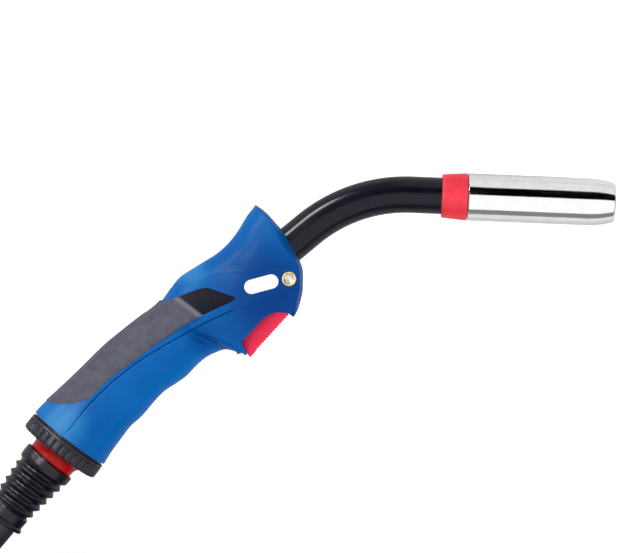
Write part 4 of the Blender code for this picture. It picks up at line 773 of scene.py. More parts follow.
def station_at(x, y):
    """The station of the section that passes over a place in plan."""

    def passed(station):
        top_x, top_y, foot_x, foot_y, _ = on_curve(FORM, station)
        return (foot_x - top_x) * (y - top_y) - (foot_y - top_y) * (x - top_x) < 0

    return station_where(passed)


PAD_START, PAD_TIP = station_at(*PAD_LOWER[0]) + 0.02, station_at(*PAD_LOWER[-1]) - 0.02
UPPER_START = station_at(*PAD_UPPER[1])
PALM_TOP, PALM_FOOT = (station_at(*place) for place in PALM_END)
LOWER_FINE, UPPER_FINE = fine_curve(PAD_LOWER), fine_curve(PAD_UPPER)


def beyond_palm(place):
    """Distance in mm ahead of the line where the palm stretch ends."""
    (start_x, start_y), (end_x, end_y) = PALM_END
    along_x, along_y = end_x - start_x, end_y - start_y
    return ((place.y - start_y) * along_x - (place.x - start_x) * along_y) / math.hypot(along_x, along_y)


def pad_lift(across, ahead_of_palm):
    """Height of the pad over the shell, from mm to its nearest edge and from the palm's end."""
    palm = 0.95 * (1 - eased(ahead_of_palm, -2.8, 0.9))
    swell = palm * eased(ahead_of_palm, -34, -3) + 0.3
    return swell * eased(across, 0.0, 0.9) - 0.5 * (1 - eased(across, -0.2, 0.35))


def pad_mesh():
    shape = bmesh.new()
    columns, rows = 170, 44
    grid = []
    for k in range(columns + 1):
        plain = PAD_START + (PAD_TIP - PAD_START) * (1 - math.cos(math.pi * k / columns)) / 2
        column = []
        for r in range(rows + 1):
            share = (1 - math.cos(math.pi * r / rows)) / 2
            lean = eased(plain, 7.0, PALM_TOP) * (1 - eased(plain, PALM_TOP, PAD_TIP))
            station = min(PAD_TIP, plain + (PALM_FOOT - PALM_TOP) * share * lean)
            low = angle_at(share_on_section(station, LOWER_FINE))
            high = angle_at(share_on_section(station, UPPER_FINE)) if station > UPPER_START - 0.35 else 0.0
            high = min(high, low - 1e-4)
            angle = high + (low - high) * share
            place = form_point(station, angle)
            to_low = -signed_distance(place, LOWER_FINE)
            to_high = signed_distance(place, UPPER_FINE) if station > UPPER_START - 0.4 else 9.0
            lift = pad_lift(max(0.0, min(to_low, to_high)), beyond_palm(place))
            place = body_point(station, angle, lift)
            column.append(shape.verts.new((place.x, place.y, max(place.z, 0.12))))
        grid.append(column)
    join_rows(shape, grid)
    return skin_of(shape, "grip_pad", 0.01)


# Across the palm's end a painted highlight makes the rubber paler, and ahead of it the arrow is darker
palm_rubber, nodes, links, surface = moulded("palm_rubber", (0.066, 0.066, 0.094), (0.092, 0.091, 0.124), 0.5,
                                             grain=0.9, relief_height=0.16, cloud=5, gloss=0.08)
palm_slope = math.atan2(PALM_END[1][1] - PALM_END[0][1], PALM_END[1][0] - PALM_END[0][0])
where = nodes.new("ShaderNodeTexCoord")
from_palm_end = node_of(nodes, "ShaderNodeMapping", vector_type="TEXTURE")
set_sockets(from_palm_end, {
    "Location": MIDDLE + Vector((*PALM_END[0], 0)) * MM, "Rotation": (0, 0, palm_slope),
})
links.new(where.outputs["Object"], from_palm_end.inputs["Vector"])
ahead_of_palm = nodes.new("ShaderNodeSeparateXYZ")
links.new(from_palm_end.outputs["Vector"], ahead_of_palm.inputs["Vector"])
past_end = node_of(nodes, "ShaderNodeMapRange", {"From Min": -3.2 * MM, "From Max": 1.2 * MM})
links.new(ahead_of_palm.outputs["Y"], past_end.inputs["Value"])
# A painted highlight in a band across the facet at the palm's end
painted_highlight_band = nodes.new("ShaderNodeValToRGB")
steps = painted_highlight_band.color_ramp.elements
steps[0].position, steps[0].color = 0.0, BLACK
steps[1].position, steps[1].color = 0.45, WHITE
steps.new(0.8).color = BLACK
links.new(past_end.outputs["Result"], painted_highlight_band.inputs["Fac"])
in_arrow = node_of(nodes, "ShaderNodeMapRange", {"From Min": 0.62, "From Max": 0.95},
                   interpolation_type="SMOOTHSTEP")
links.new(past_end.outputs["Result"], in_arrow.inputs["Value"])
colour = surface.inputs["Base Color"].links[0].from_socket
colour = toned(nodes, links, colour, painted_highlight_band.outputs["Color"], (0.17, 0.16, 0.2))
colour = toned(nodes, links, colour, in_arrow.outputs["Result"], (0.004, 0.0038, 0.009))
links.new(colour, surface.inputs["Base Color"])
near_pad = linked("grip_pad_near", pad_mesh())
walled(near_pad, 0.5)
far_pad = mirrored_twin(near_pad, "grip_pad_far")
fitted(near_pad, palm_rubber, "handle", "grip_pad_right", angle=50)
fitted(far_pad, palm_rubber, "handle", "grip_pad_left", angle=50)

# ---- Bare badge --------------------------------------------------------------------------
# A white polyester plate with rounded ends, stuck on the band ahead of the arrow. It follows the
# shell's curve and is left bare.

BADGE = middle_of("blank_badge")
BADGE_LENGTH, BADGE_WIDTH, BADGE_TURN = 18.6, 7.7, math.radians(15)
STRAIGHT_SHARE = 0.62  # of the badge's grid; the rest is bent round into its ends


def on_shell(x, y, lift):
    """The place in mm on the moulded surface over a place in plan, lifted by a height."""
    station = station_at(x, y)
    top_x, top_y, foot_x, foot_y, _ = on_curve(FORM, station)
    size = (foot_x - top_x) ** 2 + (foot_y - top_y) ** 2
    angle = angle_at(((x - top_x) * (foot_x - top_x) + (y - top_y) * (foot_y - top_y)) / size)
    place = body_point(station, angle)
    return Vector((x, y, place.z + lift))


bpy.ops.object.select_all(action="DESELECT")
bpy.ops.mesh.primitive_grid_add(x_subdivisions=48, y_subdivisions=10, size=1)
badge = bpy.context.object
badge.name = "bare_badge"
badge_at = (BADGE - MIDDLE) / MM
half_flat = (BADGE_LENGTH - BADGE_WIDTH) / 2
for vertex in badge.data.vertices:
    along, across = vertex.co.x * 2, vertex.co.y * 2
    if abs(along) > STRAIGHT_SHARE:
        bend = (abs(along) - STRAIGHT_SHARE) / (1 - STRAIGHT_SHARE) * math.pi / 2
        reach = BADGE_WIDTH / 2
        u = math.copysign(half_flat + reach * math.sin(bend), along)
        v = across * reach * math.cos(bend)
    else:
        u, v = along / STRAIGHT_SHARE * half_flat, across * BADGE_WIDTH / 2
    x = badge_at.x + u * math.cos(BADGE_TURN) - v * math.sin(BADGE_TURN)
    y = badge_at.y + u * math.sin(BADGE_TURN) + v * math.cos(BADGE_TURN)
    vertex.co = MIDDLE + on_shell(x, y, -0.35) * MM
take(badge)
bpy.ops.object.mode_set(mode="EDIT")
bpy.ops.mesh.select_all(action="SELECT")
bpy.ops.mesh.remove_doubles(threshold=0.01 * MM)
bpy.ops.mesh.extrude_region_move(TRANSFORM_OT_translate={"value": (0, 0, 0.55 * MM)})
bpy.ops.mesh.select_all(action="SELECT")
bpy.ops.mesh.normals_make_consistent(inside=False)
bpy.ops.object.mode_set(mode="OBJECT")


def softened(piece, width, steps=3, angle=35):
    """Rounds a piece's sharp edges by a width in mm."""
    take(piece)
    edge = piece.modifiers.new("edge", "BEVEL")
    edge.width = width * MM
    edge.segments = steps
    edge.limit_method = "ANGLE"
    edge.angle_limit = math.radians(angle)
    edge.use_clamp_overlap = True
    bpy.ops.object.modifier_apply(modifier=edge.name)


softened(badge, 0.16)
badge_white, *_ = moulded("badge_white", (0.8, 0.8, 0.8), (0.86, 0.86, 0.86), 0.3, grain=0.3,
                          relief_height=0.01, gloss=0.5)
fitted(badge, badge_white, "handle", "blank_badge")

# ---- Shell screw -------------------------------------------------------------------------
# One steel socket screw holds the shells together at the front. Its head sits in a flanged brass
# bushing in the near shell, and its nut in a hexagonal pocket in the far one.


def drawn_out(name, outline, sides=64):
    """A round piece drawn out ring by ring: outline gives each ring's reach and radius in mm."""
    bpy.ops.object.select_all(action="DESELECT")
    bpy.ops.mesh.primitive_circle_add(vertices=sides, radius=outline[0][1] * MM)
    piece = bpy.context.object
    piece.name = name
    bpy.ops.object.mode_set(mode="EDIT")
    bpy.ops.mesh.select_all(action="SELECT")
    bpy.ops.transform.translate(value=(0, 0, outline[0][0] * MM))
    for (start, radius), (end, next_radius) in zip(outline, outline[1:]):
        bpy.ops.mesh.extrude_region_move(TRANSFORM_OT_translate={"value": (0, 0, (end - start) * MM)})
        scale = next_radius / radius
        bpy.ops.transform.resize(value=(scale, scale, 1), center_override=(0, 0, end * MM))
    bpy.ops.mesh.select_all(action="SELECT")
    bpy.ops.mesh.remove_doubles(threshold=0.021 * MM)
    bpy.ops.mesh.normals_make_consistent(inside=False)
    bpy.ops.object.mode_set(mode="OBJECT")
    return piece


def reshaped(piece, radius_at):
    """Draws a round piece in or out, to the radius in mm that radius, turn and reach give."""
    for vertex in piece.data.vertices:
        radius = math.hypot(vertex.co.x, vertex.co.y) / MM
        wanted = radius_at(radius, math.atan2(vertex.co.y, vertex.co.x), vertex.co.z / MM)
        if wanted != radius:
            vertex.co.x *= wanted / radius
            vertex.co.y *= wanted / radius


def aimed(place, axis):
    """Turns local Z along a level axis, with local X pointing up."""
    turn = Matrix((UP, Vector(axis).cross(UP), Vector(axis))).transposed().to_4x4()
    return Matrix.Translation(place) @ turn


def metal(name, dark, light, roughness, grain=0.4):
    """A bare metal with faint clouding."""
    made, nodes, links, surface = moulded(name, dark, light, roughness, grain=grain,
                                          relief_height=0.004, cloud=6)
    surface.inputs["Metallic"].default_value = 1
    return made, nodes, links, surface


brass, *_ = metal("bushing_brass", (0.93, 0.66, 0.25), (0.98, 0.76, 0.36), 0.34)
bright_steel, *_ = metal("screw_steel", (0.66, 0.67, 0.7), (0.8, 0.8, 0.82), 0.3)
zinc_steel, *_ = metal("zinc_plated_steel", (0.42, 0.43, 0.46), (0.55, 0.56, 0.58), 0.38)
BUSHING_TOP = on_shell(SCREW_X, SCREW_Y, 0.0).z
bushing = drawn_out("flanged_bushing", (
    (-3.4, 1.9), (-3.4, 3.3), (-0.6, 3.35), (-0.55, 3.95), (0.25, 3.95), (0.45, 3.7), (0.5, 3.3),
    (0.42, 2.85), (0.2, 2.65), (-2.6, 2.6), (-2.8, 1.9), (-3.4, 1.9),
))
softened(bushing, 0.12, 2)
bushing.data.transform(Matrix.Translation(SCREW + UP * BUSHING_TOP * MM))
fitted(bushing, brass, "handle", "screw_bushing")
screw = drawn_out("socket_screw", (
    (-41.5, 0.01), (-41.5, 1.3), (-41.2, 1.45), (-2.3, 1.45), (-2.3, 2.5), (-0.35, 2.5), (-0.1, 2.25),
    (-0.1, 1.7), (-0.3, 1.5), (-1.0, 1.5), (-1.15, 0.01),
), 96)
SOCKET_HALF_ACROSS = 1.35


def socket_radius(radius, turn, reach):
    """The round socket drawn to its six flats."""
    if not (1 < radius < 1.6 and -1.1 < reach < -0.2):
        return radius
    return SOCKET_HALF_ACROSS / math.cos(turn % math.radians(60) - math.radians(30))


reshaped(screw, socket_radius)
screw.data.transform(Matrix.Translation(SCREW + UP * BUSHING_TOP * MM))
fitted(screw, bright_steel, "handle", "shell_screw", angle=30)

# ---- Trigger -----------------------------------------------------------------------------
# A red nylon lever on a steel pin, toothed across the finger's face. Its flanks run on under the
# shells, so that no gap opens when it is pulled.

TRIGGER_FACE = ((-11.9, -20.4), (-30.0, -40.1))
TEETH, TOOTH_DEPTH, TRIGGER_HALF_WIDTH = 15, 0.62, 6.5
TRIGGER_FLANK = (
    (-31.9, -42.6), (-32.8, -43.3), (-33.5, -43.1), (-34.1, -42.2), (-36.4, -37.4), (-37.9, -33.6),
    (-37.0, -31.2), (-33.2, -27.9), (-28.0, -22.6), (-23.2, -19.4), (-18.6, -16.6), (-16.6, -14.6),
    (-14.5, -13.9), (-12.4, -14.6), (-11.3, -16.6), (-11.0, -18.4),
)


def trigger_side():
    start, end = (Vector(place) for place in TRIGGER_FACE)
    along = end - start
    inward = Vector((along.y, -along.x)).normalized()
    outline = []
    for k in range(TEETH):
        for share, depth in ((0.0, 1.0), (0.22, 0.75), (0.5, 0.0), (0.72, 0.0)):
            place = start + along * (k + share) / TEETH + inward * depth * TOOTH_DEPTH
            outline.append(tuple(place))
    return outline + list(TRIGGER_FLANK)


bpy.ops.object.select_all(action="DESELECT")
shape = bmesh.new()
corners = [shape.verts.new((x * MM, y * MM, -TRIGGER_HALF_WIDTH * MM)) for x, y in trigger_side()]
shape.faces.new(corners)
mesh = bpy.data.meshes.new("toothed_trigger")
shape.to_mesh(mesh)
shape.free()
trigger = linked("toothed_trigger", mesh)
take(trigger)
bpy.ops.object.mode_set(mode="EDIT")
bpy.ops.mesh.select_all(action="SELECT")
bpy.ops.mesh.extrude_region_move(TRANSFORM_OT_translate={"value": (0, 0, 2 * TRIGGER_HALF_WIDTH * MM)})
bpy.ops.mesh.select_all(action="SELECT")
bpy.ops.mesh.normals_make_consistent(inside=False)
bpy.ops.object.mode_set(mode="OBJECT")
trigger.data.transform(Matrix.Translation(MIDDLE))
softened(trigger, 0.22, 2, 25)
red_nylon, *_ = moulded("red_nylon", (0.9, 0.02, 0.07), (0.97, 0.028, 0.09), 0.42, gloss=0.2)
fitted(trigger, red_nylon, "trigger", "trigger", angle=30)

# ---- Ball joint and bend sleeve ----------------------------------------------------------
# A fluted glass-filled nylon collar screws onto the handle's seat and holds a red ball, through
# which the hose leaves. A ribbed rubber sleeve clips onto the ball's spigot and eases the bend.

SEAT_AXIS = Vector((math.cos(HANDLE_AXIS), math.sin(HANDLE_AXIS), 0))
BACK_AXIS = Vector((math.cos(HOSE_AXIS), math.sin(HOSE_AXIS), 0))
COLLAR_FLUTES, FLUTE_DEPTH = 32, 0.85


def arc(radius, start, end, steps):
    """Reach and radius along a ball's surface between two reaches."""
    return [(start + (end - start) * k / steps,
             math.sqrt(radius ** 2 - (start + (end - start) * k / steps) ** 2)) for k in range(steps + 1)]


collar = drawn_out("fluted_collar", (
    (0.3, 20.4), (0.3, 22.7), (0.15, 23.05), (-0.15, 23.2), (-1.1, 23.2), (-1.25, 22.85), (-1.45, 22.85),
    (-1.6, 23.3), (-1.9, 23.35), (-2.6, 23.35), (-3.8, 23.35), (-5.0, 23.35), (-6.2, 23.35), (-7.0, 23.3),
    (-7.6, 23.05), (-7.95, 22.5), (-8.0, 22.0), (-8.0, 18.2), (-7.7, 17.5), (-6.0, 16.8), (-3.8, 17.45),
    (-3.8, 20.4), (0.3, 20.4),
), COLLAR_FLUTES * 10)


def fluted_radius(radius, turn, reach):
    if radius <= 21.8 or reach >= -1.55:
        return radius
    pitches = turn * COLLAR_FLUTES / (2 * math.pi)
    off = (pitches - round(pitches)) * 2 * math.pi * radius / COLLAR_FLUTES
    groove = math.exp(-(off / 0.5) ** 2) + 0.2 * math.exp(-((off - 1.0) / 0.8) ** 2)
    return radius - FLUTE_DEPTH * groove * eased(-reach, 1.55, 2.6)


reshaped(collar, fluted_radius)
collar.data.transform(aimed(BALL, SEAT_AXIS))
collar_black, *_ = moulded("collar_black", (0.016, 0.015, 0.022), (0.027, 0.025, 0.036), 0.38, gloss=0.24)
fitted(collar, collar_black, "handle", "collar_nut", angle=32)

ball = drawn_out("swivel_ball_red", (
    (7.6, 10.4), (8.0, 10.8), (8.0, 15.2), *arc(17.5, 7.7, -8.0, 22), (-8.6, 14.9), (-9.2, 14.3),
    (-10.0, 13.85), (-11.0, 13.5), (-12.2, 13.3), (-13.4, 13.3), (-13.9, 13.25), (-14.25, 13.0),
    (-14.3, 11.6), (-25.7, 11.6), (-26.0, 11.3), (-26.0, 10.4), (7.6, 10.4),
), 96)
ball.data.transform(aimed(BALL, BACK_AXIS))
ball_red, *_ = moulded("ball_red", (0.29, 0.002, 0.002), (0.38, 0.004, 0.005), 0.28, gloss=0.2)
fitted(ball, ball_red, "swivel_ball", "swivel_ball", angle=35)

RIB_PITCH, RIB_ZERO, RIB_DEPTH = 5.0, 10.65, 1.75
SLEEVE_FRONT, SLEEVE_LENGTH = -14.6, 41.4


def sleeve_radius(radius, turn, reach):
    """The ribs wind round the sleeve, from its plain front end to the cuff."""
    if radius <= 13.0:
        return radius
    back = SLEEVE_FRONT - reach
    if back < 0.6:
        return 13.6 + 1.4 * math.sqrt(max(0.0, 1 - (1 - back / 0.6) ** 2))
    crest_line = 15.0 - 0.105 * max(0.0, back - 4.4)
    place = (back - RIB_ZERO) / RIB_PITCH + turn / (2 * math.pi)
    ripple = 0.5 - 0.5 * math.cos(2 * math.pi * place)
    cut = RIB_DEPTH * ripple ** 0.8 * (eased(place, -1.15, -0.75) if place < -0.5 else 1.0)
    ribbed = crest_line - cut
    to_cuff = eased(back, 32.2, 33.6)
    cuff = 11.75 + 1.15 * eased(back, 38.7, 39.5)
    if back > 40.8:
        cuff -= 0.9 * ((back - 40.8) / 0.6) ** 2
    return ribbed + (cuff - ribbed) * to_cuff


step = 0.3
rings = [step * k for k in range(int(SLEEVE_LENGTH / step) + 1)]
sleeve = drawn_out("ribbed_sleeve", (
    (SLEEVE_FRONT - 0.3, 11.9), (SLEEVE_FRONT, 12.2), *((SLEEVE_FRONT - back, 13.6) for back in rings),
    (SLEEVE_FRONT - SLEEVE_LENGTH, 10.8), (SLEEVE_FRONT - SLEEVE_LENGTH + 0.4, 10.4), (-27.5, 10.4),
    (-26.4, 11.9), (SLEEVE_FRONT - 0.3, 11.9),
), 120)
reshaped(sleeve, sleeve_radius)
sleeve.data.transform(aimed(BALL, BACK_AXIS))
sleeve_rubber, *_ = moulded("sleeve_rubber", (0.003, 0.0028, 0.0065), (0.006, 0.0055, 0.011), 0.27,
                            grain=0.4, gloss=0.35)
fitted(sleeve, sleeve_rubber, "bend_sleeve", "bend_sleeve", angle=60)

# ---- Swan neck ---------------------------------------------------------------------------
# A copper tube in a smooth black heat-resistant jacket, bent once. It runs out of the guard, and
# the nozzle's insulator is screwed onto its end.

NECK_BEND, BEND_RADIUS = math.radians(41.8), 82.0
NOZZLE_HEADING = NECK_HEADING - NECK_BEND


def along_neck(distance):
    """A place on the neck's middle line, by the distance in mm from where its bend starts."""
    if distance < 0:
        return NECK_START + ahead * distance * MM
    turned_by = min(distance / BEND_RADIUS, NECK_BEND)
    heading = NECK_HEADING - turned_by
    start_side = Vector((math.sin(NECK_HEADING), -math.cos(NECK_HEADING), 0))
    side = Vector((math.sin(heading), -math.cos(heading), 0))
    place = NECK_START + (start_side - side) * BEND_RADIUS * MM
    rest = distance - NECK_BEND * BEND_RADIUS
    if rest > 0:
        place = place + Vector((math.cos(NOZZLE_HEADING), math.sin(NOZZLE_HEADING), 0)) * rest * MM
    return place


BEND_LENGTH = NECK_BEND * BEND_RADIUS
neck_points = [along_neck(-20.0), along_neck(-10.0)]
neck_points += [along_neck(BEND_LENGTH * k / 40) for k in range(41)]
neck_points += [along_neck(BEND_LENGTH + 8.0), along_neck(BEND_LENGTH + 16.1)]
jacket = hose_along("neck_jacket_smooth", neck_points, 9.9 * MM, 16)
jacket_black, *_ = moulded("jacket_black", (0.0022, 0.002, 0.0065), (0.004, 0.0036, 0.011), 0.22,
                           grain=0.5, relief_height=0.012, gloss=0.26)
fitted(jacket, jacket_black, "handle", "neck_jacket", angle=60)

# ---- Nozzle and its insulator ------------------------------------------------------------
# A red glass-filled insulator holds the gas nozzle on a spring clip. The nozzle is turned from
# brass and chromed bright, and its mouth is drawn in along a soft curve.

NOZZLE_AXIS = Vector((math.cos(NOZZLE_HEADING), math.sin(NOZZLE_HEADING), 0))
nozzle_seat = aimed(along_neck(BEND_LENGTH), NOZZLE_AXIS)
insulator = drawn_out("red_insulator", (
    (16.4, 10.05), (16.4, 11.3), (16.55, 11.6), (16.9, 11.75), (20.0, 12.05), (25.0, 12.45),
    (29.3, 12.75), (29.75, 12.72), (30.0, 12.4), (30.0, 10.5), (47.5, 10.5), (48.0, 10.1), (48.0, 8.5),
    (16.9, 8.5), (16.4, 8.9), (16.4, 10.05),
), 96)
insulator.data.transform(nozzle_seat)
insulator_red, *_ = moulded("insulator_red", (0.72, 0.026, 0.045), (0.8, 0.038, 0.06), 0.4,
                            grain=0.5, cloud=8, gloss=0.25)
fitted(insulator, insulator_red, "handle", "nozzle_insulator", angle=35)

NOZZLE_START, NOZZLE_END, NOZZLE_TAPER = 30.3, 109.7, 14.0
NOZZLE_RADIUS, MOUTH_RADIUS, NOZZLE_WALL = 12.8, 10.55, 1.6


def nozzle_radius(reach):
    drawn = max(0.0, (reach - NOZZLE_END + NOZZLE_TAPER) / NOZZLE_TAPER)
    return MOUTH_RADIUS + (NOZZLE_RADIUS - MOUTH_RADIUS) * (1 - drawn ** 1.9)


outside = [(NOZZLE_START, 12.2), (NOZZLE_START + 0.15, 12.55), (NOZZLE_START + 0.5, 12.78)]
outside += [(NOZZLE_START + 1 + 4 * k, NOZZLE_RADIUS) for k in range(16)]
taper = [NOZZLE_END - NOZZLE_TAPER + 0.6 * k for k in range(23)]
outside += [(reach, nozzle_radius(reach)) for reach in taper]
outside += [(NOZZLE_END - 0.2, MOUTH_RADIUS - 0.12), (NOZZLE_END, MOUTH_RADIUS - 0.45)]
inside = [(NOZZLE_END, MOUTH_RADIUS - NOZZLE_WALL + 0.3), (NOZZLE_END - 0.3, MOUTH_RADIUS - NOZZLE_WALL)]
inside += [(reach, nozzle_radius(reach) - NOZZLE_WALL) for reach in reversed(taper[::3])]
inside += [(NOZZLE_START, NOZZLE_RADIUS - NOZZLE_WALL), (NOZZLE_START, 12.2)]
nozzle = drawn_out("gas_nozzle_chromed", (*outside, *inside), 128)
nozzle.data.transform(nozzle_seat)

chrome, nodes, links, surface = metal("bright_chrome", (0.86, 0.855, 0.85), (0.93, 0.925, 0.92), 0.1,
                                      grain=0.9)
surface.inputs["Specular IOR Level"].default_value = 0.5
where = nodes.new("ShaderNodeTexCoord")
centred = node_of(nodes, "ShaderNodeMapping", vector_type="TEXTURE")
set_sockets(centred, {"Location": along_neck(BEND_LENGTH), "Rotation": (0, 0, NOZZLE_HEADING)})
links.new(where.outputs["Object"], centred.inputs["Vector"])
stretched = node_of(nodes, "ShaderNodeMapping", {"Scale": (40, 900, 900)})
links.new(centred.outputs["Vector"], stretched.inputs["Vector"])
streaks = node_of(nodes, "ShaderNodeTexNoise", {"Scale": 1, "Detail": 4})
links.new(stretched.outputs["Vector"], streaks.inputs["Vector"])
haze = node_of(nodes, "ShaderNodeMapRange", {
    "From Min": 0.35, "From Max": 0.75, "To Min": 0.06, "To Max": 0.17,
})
links.new(streaks.outputs["Fac"], haze.inputs["Value"])
links.new(haze.outputs["Result"], surface.inputs["Roughness"])
fitted(nozzle, chrome, "nozzle", "gas_nozzle", angle=30)

# ---- Machine plug ------------------------------------------------------------------------
# The coaxial plug that the torch goes into its machine with: two black half housings over a brass
# body, a coupling nut that turns on it, the power pin with its seal, and two sprung signal pins.

PLUG = placed(46.3, -285.0, 25.0)
plug_way = aimed(PLUG, (0, 1, 0))

RIBS_FROM, RIBS_TO, RIB_STEP = 4.0, 31.0, 4.5
relief_outline = [(0.0, 10.4), (0.0, 11.0), (0.4, 11.45), (1.2, 11.6)]
reach = RIBS_FROM
while reach < RIBS_TO:
    crest = 11.7 + 3.0 * reach / 42
    relief_outline += [(reach - 1.1, crest), (reach - 0.7, crest - 0.15), (reach - 0.5, crest - 0.9),
                       (reach + 0.5, crest - 0.9), (reach + 0.7, crest - 0.1)]
    reach += RIB_STEP
relief_outline += [(33.5, 13.9), (34.2, 14.6), (42.0, 14.8), (42.0, 10.4), (0.0, 10.4)]
plug_relief = drawn_out("plug_strain_relief", relief_outline, 96)
softened(plug_relief, 0.18, 2, 40)
plug_relief.data.transform(plug_way)
fitted(plug_relief, sleeve_rubber, "handle", "plug_sleeve", angle=40)

plug_black, *_ = moulded("plug_black", (0.022, 0.022, 0.026), (0.034, 0.033, 0.038), 0.48, gloss=0.45)
housing = drawn_out("plug_housing", (
    (34.0, 15.3), (34.0, 18.6), (34.6, 19.4), (36.0, 20.1), (38.5, 20.45), (42.0, 20.5), (50.0, 20.5),
    (58.0, 20.5), (66.0, 20.5), (74.0, 20.5), (82.0, 20.5), (89.2, 20.5), (89.8, 20.3), (90.0, 19.9),
    (90.0, 17.9), (44.6, 17.9), (42.0, 15.3), (34.0, 15.3),
), 120)


def housing_radius(radius, turn, reach):
    """A shallow hollow for the fingers on each side of the housing."""
    if radius <= 20.4 or not 48 < reach < 84:
        return radius
    off_side = math.asin(math.sin(turn))
    return radius - 0.9 * max(0.0, 1 - (off_side / 0.55) ** 2) * min(1.0, (84 - reach) / 6)


reshaped(housing, housing_radius)
for name, node, side in (
    ("plug_half_near", "plug_housing_right", 1), ("plug_half_far", "plug_housing_left", -1),
):
    half = linked(name, housing.data.copy())
    take(half)
    bpy.ops.object.mode_set(mode="EDIT")
    bpy.ops.mesh.select_all(action="SELECT")
    bpy.ops.mesh.bisect(plane_co=(side * 0.15 * MM, 0, 0), plane_no=(side, 0, 0), use_fill=True,
                        clear_inner=True)
    bpy.ops.mesh.select_all(action="SELECT")
    bpy.ops.mesh.normals_make_consistent(inside=False)
    bpy.ops.object.mode_set(mode="OBJECT")
    half.data.transform(plug_way)
    if side > 0:
        screw_at = middle_of("plug_screw")
        cut_away(half, round_cutter(Vector((screw_at.x, screw_at.y, PLUG.z + 4 * MM)), UP, 3.2 * MM, 30 * MM))
    softened(half, 0.35, 2, 50)
    fitted(half, plug_black, "handle", node, angle=35)
bpy.data.objects.remove(housing)

LUGS, LUG_DEPTH = 10, 1.2
nut = drawn_out("ribbed_coupling_nut", (
    (91.0, 18.0), (91.0, 23.6), (91.4, 24.3), (92.2, 24.6), (93.6, 24.75), (94.2, 25.0), (98.0, 25.0),
    (102.0, 25.0), (106.0, 25.0), (110.0, 25.0), (114.0, 25.0), (116.6, 25.0), (117.2, 24.75),
    (118.8, 24.7), (119.6, 24.4), (120.0, 23.8), (120.0, 21.9), (98.7, 21.9), (98.7, 18.0), (91.0, 18.0),
), LUGS * 20)


def lugged_radius(radius, turn, reach):
    """Valleys between the lugs, and fine grooves on them."""
    if radius <= 24.9:
        return radius
    valley, fine = math.cos(turn * LUGS), math.cos(turn * LUGS * 5)
    grooves = 0.22 * (0.5 + 0.5 * fine) * (0.5 - 0.5 * valley)
    return radius - LUG_DEPTH * (0.5 + 0.5 * valley) ** 1.5 - grooves


reshaped(nut, lugged_radius)
nut.data.transform(plug_way)
fitted(nut, plug_black, "coupling_nut", "coupling_nut", angle=30)

plug_brass, *_ = metal("plug_brass", (0.72, 0.47, 0.17), (0.84, 0.58, 0.25), 0.27)
worn_brass, *_ = metal("worn_contact_brass", (0.62, 0.4, 0.16), (0.8, 0.56, 0.26), 0.34)
pin = drawn_out("turned_power_pin", (
    (98.0, 3.3), (98.0, 5.0), (116.2, 5.0), (116.3, 4.1), (118.7, 4.1), (118.8, 5.0), (120.8, 5.0),
    (121.6, 4.7), (122.0, 4.2), (122.0, 3.3), (98.0, 3.3),
), 64)
softened(pin, 0.12, 2, 40)
pin.data.transform(plug_way)
fitted(pin, worn_brass, "handle", "power_pin", angle=30)

for number in (1, 2):
    contact_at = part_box(f"signal_pin_{number}")
    middle_x = (contact_at[0][0] + contact_at[1][0]) / 2
    contact = drawn_out(f"sprung_contact_{number}", (
        (97.0, 0.01), (97.0, 2.1), (97.1, 2.2), (98.9, 2.2), (99.0, 2.1), (99.0, 1.5), (109.5, 1.5),
        (110.2, 1.35), (110.7, 1.0), (110.95, 0.5), (111.0, 0.01),
    ), 40)
    contact.data.transform(aimed(Vector((middle_x, PLUG.y, PLUG.z)), (0, 1, 0)))
    fitted(contact, plug_brass, f"signal_pin_{number}", f"signal_pin_{number}", angle=35)

liner_nut = drawn_out("hexagonal_liner_nut", (
    (122.3, 1.3), (122.3, 3.8), (125.8, 3.8), (125.8, 1.6), (125.5, 1.2), (122.3, 1.3),
), 6)
softened(liner_nut, 0.25, 2, 40)
liner_nut.data.transform(plug_way)
fitted(liner_nut, plug_brass, "handle", "liner_nut", angle=30)

# ---- Coil straps -------------------------------------------------------------------------
# Two woven hook-and-loop straps hold the coil of hose. Each is one flat band round the four
# strands, drawn tight over them, with its end lapped on top.


def strap_section():
    """The middle line of a strap round the bundle, as places out from the coil's middle and up."""
    line = []
    for centre, height, start, end in (
        (OUTER, LOW_LAYER, -90, 0), (OUTER, HIGH_LAYER, 0, 90), (INNER, HIGH_LAYER, 90, 180),
        (INNER, LOW_LAYER, 180, 270),
    ):
        for k in range(9):
            turn = math.radians(start + (end - start) * k / 8)
            line.append((centre + STRAP_RADIUS * math.cos(turn), height + STRAP_RADIUS * math.sin(turn)))
    return line


def strap_rows(shape, bearing, line, width):
    """Rows of points across a strap at a bearing of the coil, along a middle line."""
    out = Vector((math.cos(math.radians(bearing)), math.sin(math.radians(bearing)), 0))
    side = Vector((-out.y, out.x, 0))
    places = [COIL + out * reach + UP * height for reach, height in line]
    return [[shape.verts.new(place + side * width * (k / 8 - 0.5)) for k in range(9)] for place in places]


STRAP_RADIUS, STRAP_WIDTH = HOSE_RADIUS + 0.75 * MM, 20 * MM
